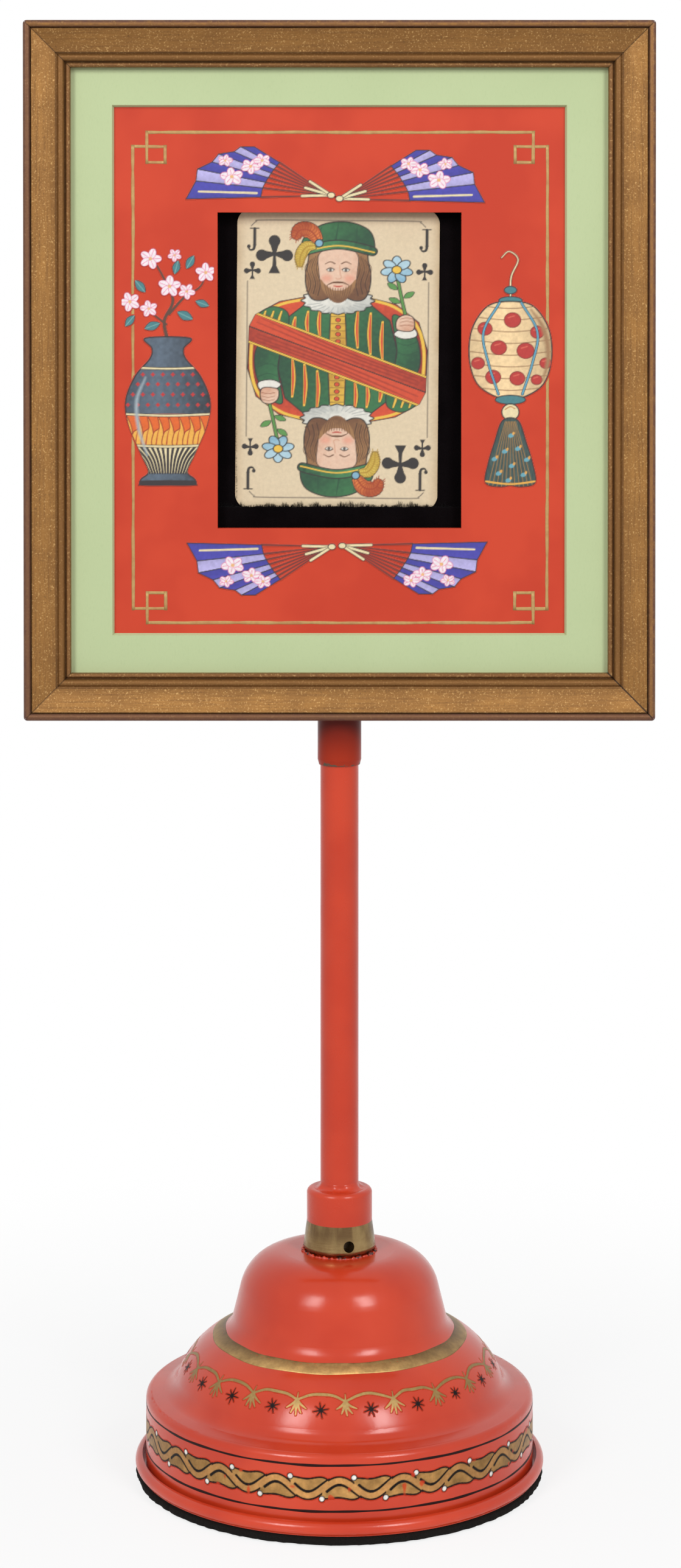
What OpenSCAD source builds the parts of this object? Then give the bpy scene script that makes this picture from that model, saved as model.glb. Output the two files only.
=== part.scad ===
// Card display frame on a stand: a gilt picture frame with a green mat and a red panel,
// whose velvet-lined window shows one playing card. The frame turns on a plain tube that
// plugs into a weighted, spun metal base. Millimetres, +Z up, the front faces -Y, and the
// origin is the middle of the foot on the table.

/* [Foot] */
// Thickness of the black felt under the base
felt_t = 2.8; // [1.5:0.1:4]
// How far the edge of the felt lies inside the rim
felt_inset = 0.6; // [0.2:0.1:2]

/* [Base pan] */
// Thickness of the spun sheet of the pan and the shell
sheet_t = 0.8; // [0.5:0.1:1.2]
// Height of the half-round rim of the pan
rim_h = 3.7; // [3:0.1:5]
// Thickness of the rim from its inner wall to its outer face
rim_w = 2; // [1.9:0.1:3.5]
// Width of the gutter between the rim and the wall of the drum
gutter_w = 1.1; // [0.6:0.1:2.5]
// Inner diameter of the pressed well over the tie nut
well_d = 26; // [20:1:34]
// Depth of the well
well_h = 6.2; // [5.6:0.1:9]

/* [Base shell] */
// Diameter of the drum
drum_d = 112.7; // [106:0.1:125]
// Height of the drum from the floor of the pan to its ledge
drum_h = 20.9; // [18:0.1:28]
// Radius of the rounded shoulder of the drum
shoulder_r = 1.8; // [1.2:0.1:2.6]
// Rise of the ledge from the shoulder to the foot of the bell
ledge_rise = 1.1; // [0:0.1:2]
// Diameter of the bell where it meets the ledge
bell_foot_d = 96.6; // [88:0.1:100]
// Radius of the arc of the bell
bell_arc_r = 24.8; // [22:0.1:27]
// Height of the foot of the bell above the middle of its arc
bell_drop = 6.6; // [4:0.1:9]
// Diameter of the dome, level with the middle of its rounded crown
dome_d = 59.2; // [54:0.1:64]
// Lean of the wall of the dome
dome_lean = 14; // [0:0.5:20]
// Radius of the rounded crown of the dome
dome_corner_r = 13; // [11:0.1:17]
// Height of the crown above the foot of the bell
crown_h = 39.3; // [37:0.1:48]
// Radius of the hollow between the bell and the dome
neck_r = 6; // [2:0.1:9]

/* [Ballast] */
// Height of the cast weight
weight_h = 10.6; // [8:0.1:14]
// Space between the weight and the wall of the drum
weight_gap = 3.4; // [1:0.1:8]
// Diameter of the tie rod
rod_d = 6; // [5:0.1:8]
// Thickness of the nuts on the tie rod
rod_nut_h = 4; // [3:0.1:4.4]
// Width of those nuts across the flats
rod_nut_af = 10; // [9.5:0.1:13]
// Diameter of the washer in the well
washer_d = 16; // [15:0.1:18]
// Thickness of the washer
washer_t = 1; // [0.6:0.1:1.4]
// Length of tie rod screwed into the ferrule
rod_grip = 5; // [4:0.1:6]

/* [Ferrule and collar] */
// Height of the brass ferrule above the crown
ferrule_h = 8.9; // [7:0.1:12]
// Diameter of the ferrule and of the collar on it
ferrule_d = 19; // [17:0.1:22]
// Diameter of the flare at the foot of the ferrule
flare_d = 21; // [20:0.1:25]
// Height of the widest part of the flare
flare_h = 3.4; // [2:0.1:5]
// Diameter of the shank of the ferrule through the crown
shank_d = 14; // [13.5:0.1:16]
// Metal of the ferrule under its bore
ferrule_web = 7; // [6.5:0.1:10]
// Depth of the stem in the ferrule
spigot_h = 16; // [13:0.1:22]
// Diameter of the cross hole in the ferrule
cross_hole_d = 3.2; // [2:0.1:4]
// Height of the cross hole above the crown
cross_hole_h = 3.4; // [2.4:0.1:4.5]
// Angle of the cross hole from the front
cross_hole_turn = 15.6; // [0:0.2:90]
// Thickness of the ring nut under the crown
ring_nut_h = 3; // [2:0.1:4]
// Width of the ring nut across the flats
ring_nut_af = 20; // [18:0.1:24]
// Height of the red collar
collar_h = 9.4; // [7:0.1:13]
// Radius of the top edge of the collar
collar_edge_r = 1.4; // [0.6:0.1:2.4]

/* [Stem and socket] */
// Diameter of the stem
stem_d = 11.1; // [10:0.05:12]
// Wall of the stem
stem_wall = 0.8; // [0.6:0.1:1.5]
// Length of stem in view between the collar and the socket
stem_show = 123.6; // [80:0.1:220]
// Outer diameter of the socket tube
socket_d = 12.7; // [12.5:0.05:14]
// Length of socket below the frame
socket_show = 13.8; // [8:0.1:24]
// Length of socket let into the bottom rail
socket_sunk = 7; // [4:0.1:8]
// Thickness of the cap that closes the socket
socket_cap = 1.2; // [0.8:0.1:2]
// Height of the tapered lip of the socket
socket_lip_h = 1.5; // [0.8:0.1:3]
// Thickness of the socket at the end of its lip
socket_lip_t = 0.35; // [0.2:0.05:0.5]

/* [Frame] */
// Width of the frame
frame_w = 182; // [170:0.1:210]
// Height of the frame
frame_h = 201.7; // [190:0.1:240]
// Distance of the stem behind the front of the moulding
stem_setback = 10.8; // [10:0.1:12]
// Diameter of the outer bead of the moulding
bead_d = 2.1; // [1.5:0.1:2.6]
// Width of the groove inside the outer bead
groove_w = 0.35; // [0.2:0.05:1]
// Depth of that groove behind the front
groove_drop = 1.6; // [1.3:0.1:2]
// Width of the scooped face
field_w = 6.6; // [5:0.1:8]
// Depth of the outer edge of the scooped face behind the front
field_high = 0.5; // [0.2:0.1:0.9]
// Depth of the inner edge of the scooped face behind the front
field_low = 2.7; // [2:0.1:3]
// Hollow of the scooped face
field_scoop = 0.35; // [0.1:0.05:0.6]
// Width of the creases beside the step
crease_w = 0.3; // [0.2:0.05:0.8]
// Diameter of the half-round step
step_d = 2.2; // [1.6:0.1:2.8]
// Depth of the middle of the step behind the front
step_drop = 4.3; // [3.8:0.1:4.8]
// Diameter of the small bead at the sight edge
sight_bead_d = 1.4; // [1:0.1:2]
// Depth of the middle of the sight bead behind the front
sight_bead_drop = 5.2; // [4.9:0.1:5.8]
// Depth of the rebate behind the front
rebate_drop = 7.2; // [6.6:0.1:8]
// Width of the rebate
rebate_w = 4; // [3:0.1:4.4]
// Opening left at each mitre
mitre_gap = 0.1; // [0.05:0.01:0.4]
// Rounding of the outer corners of the frame
corner_r = 1.3; // [0.5:0.1:2]
// Length of each leg of the steel corner wedges
wedge_leg = 3.4; // [2.4:0.1:3.8]
// Thickness of the steel of the wedges
wedge_t = 0.6; // [0.4:0.1:1]
// Depth of the wedges in the wood
wedge_h = 7; // [4:0.1:9]

/* [Boards in the frame] */
// Thickness of the green mat
mat_t = 1.4; // [1:0.1:2.4]
// Width of the red panel inside the mat
mat_open_w = 130.7; // [110:0.1:140]
// Height of the red panel inside the mat
mat_open_h = 152.6; // [130:0.1:165]
// Width of the bevel cut on the mat
mat_bevel = 0.5; // [0.3:0.1:1.8]
// Thickness of the red panel
panel_t = 2.8; // [2:0.1:4]
// Width of the window on each side of the card
window_side = 5.9; // [3:0.1:8]
// How much taller the window is than the card
window_spare = 3.7; // [2:0.1:8]
// Thickness of the spacer behind the panel
spacer_t = 2; // [1.8:0.1:4]
// How far the opening of the spacer lies outside the window
spacer_margin = 3; // [2:0.1:6]
// Thickness of the velvet-covered board
velvet_t = 3.4; // [2:0.1:5]
// Thickness of the back board
back_t = 3.4; // [2:0.1:5]

/* [Card] */
// Width of the playing card
card_w = 59; // [56:0.1:64]
// Height of the playing card
card_h = 88; // [80:0.1:90]
// Thickness of the playing card
card_t = 0.3; // [0.2:0.05:0.5]
// Corner radius of the playing card
card_corner_r = 4.6; // [2:0.1:6]
// Height of the bottom of the card above the bottom of the window
card_lift = 5; // [3:0.1:6]
// Sideways place of the card in the window
card_shift = -0.6; // [-2:0.1:2]
// Lean of the card in degrees
card_tilt = 0.5; // [-1:0.1:1]
// Thickness of the velvet fold that the card stands in
fold_t = 1.3; // [0.9:0.1:1.7]
// How far the fold laps over the bottom of the card
fold_lap = 1.2; // [0.8:0.1:3]

/* [Turn buttons] */
// Width of a turn button
button_w = 8; // [6:0.1:9]
// Distance from the pivot to the middle of the tip
button_reach = 11; // [9:0.1:16]
// Thickness of a turn button
button_t = 1.2; // [0.8:0.1:2]
// Height of the buttons above and below the middle of the frame
button_level = 55; // [30:1:70]
// Diameter of the screws
screw_d = 3; // [2:0.1:3.6]
// Length of screw in the wood
screw_grip = 7; // [5:0.1:8]
// Diameter of the screw heads
screw_head_d = 6; // [5:0.1:7.5]
// Height of the screw heads
screw_head_h = 1.8; // [1.2:0.1:2.5]
// Width of the slot in a screw head
screw_slot_w = 0.9; // [0.6:0.1:1.2]

/* [Clearances] */
// Radial play of the stem in the ferrule and the socket, and of the buttons on their screws
turn_play = 0.05; // [0.02:0.01:0.08]
// Gap all round a piece that is soldered, glued or screwed in its seat
seat_gap = 0.03; // [0.01:0.01:0.05]
// Gap between the boards and the rebate
board_gap = 0.3; // [0.1:0.1:0.8]
// Gap around the tie rod where it passes through
rod_play = 0.2; // [0.1:0.1:0.5]
// Gap on each side of a turn button
button_play = 0.05; // [0.02:0.01:0.2]
// Gap around the card where the fold holds it
card_play = 0.06; // [0.02:0.01:0.1]

/* [Hidden] */
$fn = 96;
// Overlap of cutting shapes past the faces that they cut
past = 1;

// Heights of the stand
z_floor = felt_t + sheet_t;
z_ledge = z_floor + drum_h;
z_foot = z_ledge + ledge_rise;
z_crown = z_foot + crown_h;
z_ferrule = z_crown + ferrule_h;
z_collar = z_ferrule + collar_h;
z_socket = z_collar + stem_show;
z_frame = z_socket + socket_show;
z_middle = z_frame + frame_h / 2;
z_shank = z_ferrule - spigot_h - ferrule_web;
z_well = felt_t + well_h + sheet_t;
z_weight = max(z_floor + weight_h, z_well + sheet_t);
socket_l = socket_show + socket_sunk;

// Pan and bell
rim_in = drum_d / 2 + gutter_w;
rim_out = rim_in + rim_w;
z_bell = z_foot - bell_drop;
bell_mid = bell_foot_d / 2 - sqrt(pow(bell_arc_r, 2) - pow(bell_drop, 2));
// Way out of the wall of the dome, middle of its rounded crown, distance from wall to middle of the bell's arc
wall_out = [cos(dome_lean), sin(dome_lean)];
crown_mid = [dome_d / 2 - dome_corner_r / cos(dome_lean), z_crown - dome_corner_r];
wall_gap = ([bell_mid, z_bell] - [dome_d / 2, crown_mid[1]]) * wall_out;

// Moulding, measured inwards from the outer edge of the frame
field_at = bead_d + groove_w;
step_at = field_at + field_w + crease_w;
sight_at = step_at + step_d + crease_w;
rail_w = sight_at + sight_bead_d;
rebate_at = rail_w - rebate_w;
field_slope = field_low - field_high;
field_chord = norm([field_w, field_slope]);
scoop_r = (pow(field_chord / 2, 2) + pow(field_scoop, 2)) / (2 * field_scoop);

// Depth of the stack of boards, from the front of the moulding backwards
y_front = -stem_setback;
y_mat = y_front + rebate_drop;
y_panel = y_mat + mat_t;
y_spacer = y_panel + panel_t;
y_velvet = y_spacer + spacer_t;
y_board = y_velvet + velvet_t;
y_back = y_board + back_t;
frame_depth = y_back - y_front;
board_w = frame_w - 2 * (rebate_at + board_gap);
board_h = frame_h - 2 * (rebate_at + board_gap);

// Card and window
window_w = card_w + 2 * window_side;
window_h = card_h + window_spare;
window_z = z_middle - window_h / 2;
spacer_w = window_w + 2 * spacer_margin;
spacer_h = window_h + 2 * spacer_margin;
card_z = window_z + card_lift;
card_lean = card_w / 2 * sin(abs(card_tilt));

// Turn buttons, as the side and level of each
button_seats = [[-1, 1], [1, 1], [-1, -1], [1, -1]];
button_x = frame_w / 2 - rebate_at / 2;
button_bore = screw_d + 2 * turn_play;

red = [0.80, 0.29, 0.22];
gilt = [0.64, 0.45, 0.24];
brass = [0.69, 0.55, 0.36];
steel = [0.62, 0.62, 0.60];
black = [0.07, 0.06, 0.07];

// Shapes that several pieces share

// Ring of height h from inner diameter d1 to outer diameter d2
module ring(d1, d2, h) {
  difference() {
    cylinder(d = d2, h = h);
    translate([0, 0, -past]) cylinder(d = d1, h = h + 2 * past);
  }
}

// Hexagonal nut of width af across its flats
module hex_nut(af, bore, h) {
  difference() {
    cylinder(d = af / cos(30), h = h, $fn = 6);
    translate([0, 0, -past]) cylinder(d = bore, h = h + 2 * past);
  }
}

// Upright board centred on the middle of the frame, from depth y over thickness t
module board(y, t, w, h) {
  translate([-w / 2, y, z_middle - h / 2]) cube([w, t, h]);
}

// Board that fills the rebate
module rebate_board(y, t) {
  board(y, t, board_w, board_h);
}

// Base

module foot_felt() {
  color(black) cylinder(r = rim_out - felt_inset, h = felt_t);
}

// The well is pressed up in the middle of the pan, over the nut of the tie rod
module base_pan() {
  color(red) rotate_extrude() {
    translate([well_d / 2, felt_t]) square([rim_in - well_d / 2 + rim_w / 2, sheet_t]);
    translate([well_d / 2, felt_t]) square([sheet_t, well_h + sheet_t]);
    translate([rod_d / 2 + rod_play, felt_t + well_h])
      square([(well_d - rod_d) / 2 - rod_play + sheet_t, sheet_t]);
    intersection() {
      translate([rim_out - rim_h / 2, felt_t + rim_h / 2]) circle(d = rim_h);
      translate([rim_in, felt_t]) square([rim_w, rim_h]);
    }
  }
}

module base_weight() {
  color(steel) difference() {
    translate([0, 0, z_floor]) cylinder(d = drum_d - 2 * (sheet_t + weight_gap), h = z_weight - z_floor);
    translate([0, 0, z_floor - past]) cylinder(d = well_d + 2 * (sheet_t + rod_play), h = z_well - z_floor + past);
    cylinder(d = rod_d + 2 * rod_play, h = z_weight + past);
  }
}

module tie_rod() {
  z_end = felt_t + well_h - washer_t - rod_nut_h;
  color(steel) translate([0, 0, z_end]) cylinder(d = rod_d, h = z_shank + rod_grip - z_end);
}

module tie_washer() {
  color(steel) translate([0, 0, felt_t + well_h - washer_t]) ring(rod_d + 2 * rod_play, washer_d, washer_t);
}

module tie_nut() {
  color(steel) translate([0, 0, felt_t + well_h - washer_t - rod_nut_h])
    hex_nut(rod_nut_af, rod_d + 2 * seat_gap, rod_nut_h);
}

module weight_nut() {
  color(steel) translate([0, 0, z_weight]) hex_nut(rod_nut_af, rod_d + 2 * seat_gap, rod_nut_h);
}

// Half section of the bell base, t inside its outer skin and carried down below the drum by skirt
module bell_section(t, skirt) {
  drum_r = drum_d / 2;
  translate([0, z_floor - skirt]) square([drum_r - t, drum_h - shoulder_r + skirt]);
  translate([0, z_floor - skirt]) square([drum_r - shoulder_r, drum_h - t + skirt]);
  translate([drum_r - shoulder_r, z_ledge - shoulder_r]) circle(r = shoulder_r - t);
  polygon([[0, z_floor], [drum_r - shoulder_r, z_floor], [drum_r - shoulder_r, z_ledge - t],
    [bell_foot_d / 2 - t, z_foot - t], [0, z_foot - t]]);
  intersection() {
    translate([bell_mid, z_bell]) circle(r = bell_arc_r - t);
    translate([0, z_foot - 2 * sheet_t]) square([drum_r, crown_h]);
  }
  wall_top = crown_mid + (dome_corner_r - t) * wall_out;
  wall_foot = dome_d / 2 - t / cos(dome_lean) + (crown_mid[1] - z_foot) * tan(dome_lean);
  polygon([[0, z_floor], [wall_foot, z_floor], [wall_foot, z_foot], wall_top, [0, wall_top[1]]]);
  translate([0, z_floor]) square([crown_mid[0], z_crown - t - z_floor]);
  translate(crown_mid) circle(r = dome_corner_r - t);
}

// Point above the bell, off outside the wall of the dome and reach from the middle of the bell's arc
function neck_point(off, reach) =
  let (a = off - wall_gap, b = sqrt(pow(reach, 2) - pow(a, 2)))
  [bell_mid, z_bell] + a * wall_out + b * [-wall_out[1], wall_out[0]];

// Section of the hollow neck: a circle that touches the bell and the dome, cut from the corner between them
module neck_section() {
  root = sheet_t / 4;
  middle = neck_point(neck_r, bell_arc_r + neck_r);
  bell_touch = middle + (neck_r + root) / (bell_arc_r + neck_r) * ([bell_mid, z_bell] - middle);
  difference() {
    polygon([middle - (neck_r + root) * wall_out, middle, bell_touch, neck_point(-root, bell_arc_r - root)]);
    translate(middle) circle(r = neck_r);
  }
}

module base_shell() {
  color(red) {
    rotate_extrude() difference() {
      bell_section(0, 0);
      bell_section(sheet_t, past);
      translate([0, z_crown - dome_corner_r]) square([shank_d / 2 + seat_gap, dome_corner_r + past]);
    }
    rotate_extrude() neck_section();
  }
}

// Ferrule: a brass turning with a half-round foot and a tapered neck above the crown, a shank below
// it, a bore for the stem and a cross hole
module ferrule() {
  bore_r = stem_d / 2 + turn_play;
  foot_r = flare_h / 2;
  color(brass) difference() {
    rotate_extrude() difference() {
      union() {
        translate([flare_d / 2 - foot_r, z_crown + foot_r]) circle(r = foot_r);
        polygon([[0, z_shank], [shank_d / 2, z_shank], [shank_d / 2, z_crown], [flare_d / 2 - foot_r, z_crown],
          [flare_d / 2, z_crown + foot_r], [ferrule_d / 2, z_ferrule], [0, z_ferrule]]);
      }
      translate([0, z_ferrule - spigot_h]) square([bore_r, spigot_h + past]);
      translate([0, z_shank - past]) square([rod_d / 2 + seat_gap, rod_grip + past]);
    }
    translate([0, 0, z_crown + cross_hole_h]) rotate([90, 0, cross_hole_turn])
      cylinder(d = cross_hole_d, h = flare_d);
  }
}

module ring_nut() {
  color(steel) translate([0, 0, z_crown - sheet_t - ring_nut_h])
    hex_nut(ring_nut_af, shank_d + 2 * seat_gap, ring_nut_h);
}

// Stem

module stem_collar() {
  inner = stem_d / 2 + seat_gap;
  outer = ferrule_d / 2;
  color(red) translate([0, 0, z_ferrule]) rotate_extrude() difference() {
    union() {
      square([outer, collar_h - collar_edge_r]);
      square([outer - collar_edge_r, collar_h]);
      translate([outer - collar_edge_r, collar_h - collar_edge_r]) circle(r = collar_edge_r);
    }
    translate([0, -past]) square([inner, collar_h + 2 * past]);
  }
}

module stem_tube() {
  z_end = z_ferrule - spigot_h + turn_play;
  color(red) translate([0, 0, z_end])
    ring(stem_d - 2 * stem_wall, stem_d, z_socket + socket_l - socket_cap - z_end);
}

// Socket tube: capped at the top, tapered to a thin lip at the bottom
module stem_socket() {
  inner = stem_d / 2 + turn_play;
  outer = socket_d / 2;
  color(red) translate([0, 0, z_socket]) rotate_extrude() {
    polygon([[inner, 0], [inner + socket_lip_t, 0], [outer, socket_lip_h], [outer, socket_l], [0, socket_l],
      [0, socket_l - socket_cap], [inner, socket_l - socket_cap]]);
  }
}

// Frame

// Point of the moulding, d inwards from the outer edge and drop behind the front
function moulding_point(d, drop) = [y_front + drop, d];

module moulding_bead(d, drop, size) {
  translate(moulding_point(d, drop)) circle(d = size);
}

// Section of the moulding: outer bead, groove, scooped face, half-round step, sight bead, rebate
module moulding_section() {
  step_mid = step_at + step_d / 2;
  sight_mid = sight_at + sight_bead_d / 2;
  crease_drop = sight_bead_drop + crease_w / 2;
  scoop_rise = scoop_r - field_scoop;
  field_mid = [field_at + field_w / 2, (field_high + field_low) / 2];
  scoop_mid = field_mid + scoop_rise / field_chord * [field_slope, -field_w];
  moulding_bead(bead_d / 2, bead_d / 2, bead_d);
  moulding_bead(step_mid, step_drop, step_d);
  moulding_bead(sight_mid, sight_bead_drop, sight_bead_d);
  difference() {
    polygon([
      moulding_point(0, frame_depth),
      moulding_point(rebate_at, frame_depth),
      moulding_point(rebate_at, rebate_drop),
      moulding_point(rail_w, rebate_drop),
      moulding_point(rail_w, sight_bead_drop),
      moulding_point(sight_at, sight_bead_drop),
      moulding_point(sight_at, crease_drop),
      moulding_point(sight_at - crease_w, crease_drop),
      moulding_point(sight_at - crease_w, step_drop),
      moulding_point(step_at - crease_w, step_drop),
      moulding_point(step_at - crease_w, field_low),
      moulding_point(field_at, field_high),
      moulding_point(field_at, groove_drop),
      moulding_point(bead_d, groove_drop),
      moulding_point(bead_d, bead_d / 2),
      moulding_point(0, bead_d / 2)]);
    translate(moulding_point(scoop_mid[0], scoop_mid[1])) circle(r = scoop_r, $fn = 240);
  }
}

// Mitred rail of the given length along X, its outer edge at z = 0 and its face to the front
module rail(length) {
  end = length / 2 - mitre_gap / 2;
  straight = length - 2 * corner_r;
  intersection() {
    translate([-length / 2, 0, 0]) rotate([90, 0, 90]) linear_extrude(length) moulding_section();
    translate([0, y_back + past, 0]) rotate([90, 0, 0]) linear_extrude(frame_depth + 2 * past) intersection() {
      polygon([[-end, 0], [end, 0], [end - rail_w, rail_w], [rail_w - end, rail_w]]);
      union() {
        translate([-straight / 2, 0]) square([straight, rail_w]);
        translate([-length / 2, corner_r]) square([length, rail_w]);
        for (side = [-1, 1]) translate([side * straight / 2, corner_r]) circle(r = corner_r);
      }
    }
  }
}

// Moves a rail from its own place to one edge of the frame
module at_bottom() {
  translate([0, 0, z_frame]) children();
}

module at_top() {
  translate([0, 0, z_frame + frame_h]) rotate([0, 180, 0]) children();
}

module at_left() {
  translate([-frame_w / 2, 0, z_middle]) rotate([0, 90, 0]) children();
}

module at_right() {
  translate([frame_w / 2, 0, z_middle]) rotate([0, -90, 0]) children();
}

module rail_bottom() {
  color(gilt) difference() {
    at_bottom() rail(frame_w);
    wedge_set();
    translate([0, 0, z_frame - past]) cylinder(d = socket_d + 2 * seat_gap, h = socket_sunk + past);
  }
}

module rail_top() {
  color(gilt) difference() {
    at_top() rail(frame_w);
    wedge_set();
  }
}

module rail_left() {
  color(gilt) difference() {
    at_left() rail(frame_h);
    wedge_set();
    screw_pilots();
  }
}

module rail_right() {
  color(gilt) difference() {
    at_right() rail(frame_h);
    wedge_set();
    screw_pilots();
  }
}

// One bent steel wedge across a mitre, let in flush with the back
module wedge() {
  rotate([90, 0, 0]) linear_extrude(wedge_h) {
    square([wedge_leg, wedge_t]);
    square([wedge_t, wedge_leg]);
  }
}

module wedge_set() {
  reach = rebate_at / 2 - wedge_t / 2;
  for (side = [-1, 1], level = [-1, 1])
    translate([side * (frame_w / 2 - reach), y_back, z_middle + level * (frame_h / 2 - reach)])
      mirror([side > 0 ? 1 : 0, 0, 0]) mirror([0, 0, level > 0 ? 1 : 0]) wedge();
}

module corner_wedges() {
  color(steel) wedge_set();
}

// Boards in the frame, from the front backwards

// Slot right through a board for one direction of the bevelled opening, size wide at the back
module bevel_slot(size, length) {
  linear_extrude(length, center = true)
    polygon([[-size / 2 - mat_bevel, 0], [size / 2 + mat_bevel, 0], [size / 2, mat_t], [-size / 2, mat_t]]);
}

module green_mat() {
  color([0.75, 0.82, 0.63]) difference() {
    rebate_board(y_mat, mat_t);
    translate([0, y_mat, z_middle]) intersection() {
      bevel_slot(mat_open_w, board_h);
      rotate([0, 90, 0]) bevel_slot(mat_open_h, board_w);
    }
  }
}

module red_panel() {
  color(red) difference() {
    rebate_board(y_panel, panel_t);
    board(y_panel - past, panel_t + 2 * past, window_w, window_h);
  }
}

module window_spacer() {
  color(black) difference() {
    rebate_board(y_spacer, spacer_t);
    board(y_spacer - past, spacer_t + 2 * past, spacer_w, spacer_h);
  }
}

module velvet_board() {
  color(black) rebate_board(y_velvet, velvet_t);
}

// Fold of velvet along the bottom of the window, with a step behind it for the card to stand in
module velvet_fold() {
  bottom = z_middle - spacer_h / 2 + board_gap;
  shelf = card_z - card_lean - card_play;
  lap = card_z + fold_lap;
  y_card = y_velvet - card_t - card_play;
  width = spacer_w - 2 * board_gap;
  color(black) translate([-width / 2, 0, 0]) rotate([90, 0, 90]) linear_extrude(width)
    polygon([[y_velvet, bottom], [y_velvet, shelf], [y_card, shelf], [y_card, lap],
      [y_velvet - fold_t, lap], [y_velvet - fold_t, bottom]]);
}

module playing_card() {
  x = card_w / 2 - card_corner_r;
  z = card_h / 2 - card_corner_r;
  color([0.88, 0.82, 0.69]) translate([card_shift, y_velvet, card_z + card_h / 2])
    rotate([0, card_tilt, 0]) rotate([90, 0, 0]) linear_extrude(card_t) {
      square([card_w, 2 * z], center = true);
      square([2 * x, card_h], center = true);
      for (i = [-1, 1], j = [-1, 1]) translate([i * x, j * z]) circle(r = card_corner_r);
    }
}

module back_board() {
  color([0.45, 0.32, 0.21]) rebate_board(y_board, back_t);
}

// Turn buttons and their screws

// Puts its children on the back of a rail at one of the button seats, with +Z pointing backwards
module at_button(seat) {
  translate([seat[0] * button_x, y_back, z_middle + seat[1] * button_level])
    rotate([-90, 0, 0]) children();
}

module screw_pilots() {
  for (seat = button_seats)
    at_button(seat) translate([0, 0, -screw_grip]) cylinder(d = screw_d + 2 * seat_gap, h = screw_grip + past);
}

module button_screws() {
  seat_h = button_t + 2 * button_play;
  color(brass) for (seat = button_seats) at_button(seat) {
    translate([0, 0, -screw_grip]) cylinder(d = screw_d, h = screw_grip + seat_h);
    difference() {
      translate([0, 0, seat_h]) cylinder(d1 = screw_head_d, d2 = screw_head_d * 0.7, h = screw_head_h);
      translate([-screw_head_d / 2, -screw_slot_w / 2, seat_h + screw_head_h / 2])
        cube([screw_head_d, screw_slot_w, screw_head_h]);
    }
  }
}

// Flat brass button with round ends, its tip over the edge of the back board
module turn_button(seat) {
  color(brass) at_button(seat) translate([0, 0, button_play]) linear_extrude(button_t) difference() {
    union() {
      circle(d = button_w);
      translate([-seat[0] * button_reach, 0]) circle(d = button_w);
      translate([-seat[0] * button_reach / 2, 0]) square([button_reach, button_w], center = true);
    }
    circle(d = button_bore);
  }
}

foot_felt();
base_pan();
base_weight();
tie_rod();
tie_washer();
tie_nut();
weight_nut();
base_shell();
ferrule();
ring_nut();
stem_collar();
stem_tube();
stem_socket();
rail_bottom();
rail_top();
rail_left();
rail_right();
corner_wedges();
green_mat();
red_panel();
window_spacer();
velvet_board();
velvet_fold();
playing_card();
back_board();
button_screws();
turn_button(button_seats[0]);  // turn_button_1
turn_button(button_seats[1]);  // turn_button_2
turn_button(button_seats[2]);  // turn_button_3
turn_button(button_seats[3]);  // turn_button_4
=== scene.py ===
"""Looks of a playing card display frame on its stand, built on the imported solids.

Lengths in this file are millimetres until a mesh is made, where MM turns them into metres.
The sections follow the object as it is put together, from the foot up to the frame and its back.
"""
import math

import bpy
import numpy as np
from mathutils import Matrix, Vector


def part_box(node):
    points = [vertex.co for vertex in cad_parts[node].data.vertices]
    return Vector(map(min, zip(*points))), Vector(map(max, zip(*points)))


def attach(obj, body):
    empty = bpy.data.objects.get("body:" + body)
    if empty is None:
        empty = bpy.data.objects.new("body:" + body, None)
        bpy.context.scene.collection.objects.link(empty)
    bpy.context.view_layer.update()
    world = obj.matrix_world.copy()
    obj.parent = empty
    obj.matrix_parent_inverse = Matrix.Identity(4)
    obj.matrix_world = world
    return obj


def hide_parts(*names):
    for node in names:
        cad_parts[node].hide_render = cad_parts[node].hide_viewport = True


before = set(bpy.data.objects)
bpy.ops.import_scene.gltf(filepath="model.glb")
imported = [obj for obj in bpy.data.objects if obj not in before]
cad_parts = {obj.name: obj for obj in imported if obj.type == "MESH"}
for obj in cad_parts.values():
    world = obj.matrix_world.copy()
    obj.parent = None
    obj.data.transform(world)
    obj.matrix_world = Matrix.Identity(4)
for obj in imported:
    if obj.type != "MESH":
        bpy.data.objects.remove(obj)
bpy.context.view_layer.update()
scene = bpy.context.scene
scene.view_settings.view_transform = "Standard"
MM = 0.001

# Studio
# A sheet of white acrylic in a white room, with two tall softboxes in front, left and right.
# The camera stands 0.93 m in front of the stem, as high as the card.
PHOTO_W = 1119
PHOTO_H = 2576
FOCAL_PX = 5270.0
HORIZON_PX = 515.4
AXIS_PX = 557.8
CAMERA_AWAY = 0.9326
CAMERA_HEIGHT = 0.3379
CAMERA_SHIFT = -0.27

lens = bpy.data.cameras.new("camera")
lens.lens = lens.sensor_width * FOCAL_PX / PHOTO_H
lens.shift_x = (PHOTO_W / 2 - AXIS_PX) / PHOTO_H
lens.shift_y = CAMERA_SHIFT
camera = bpy.data.objects.new("camera", lens)
tilt = math.atan((PHOTO_H * (0.5 + CAMERA_SHIFT) - HORIZON_PX) / FOCAL_PX)
camera.location = (0, -CAMERA_AWAY, CAMERA_HEIGHT)
camera.rotation_euler = (math.pi / 2 - tilt, 0, 0)
scene.collection.objects.link(camera)
scene.camera = camera


def plug(made, key, value):
    """Sets an input of a node to a value, or links it to another node's output."""
    if isinstance(value, bpy.types.NodeSocket):
        made.id_data.links.new(value, made.inputs[key])
    else:
        made.inputs[key].default_value = value


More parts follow.
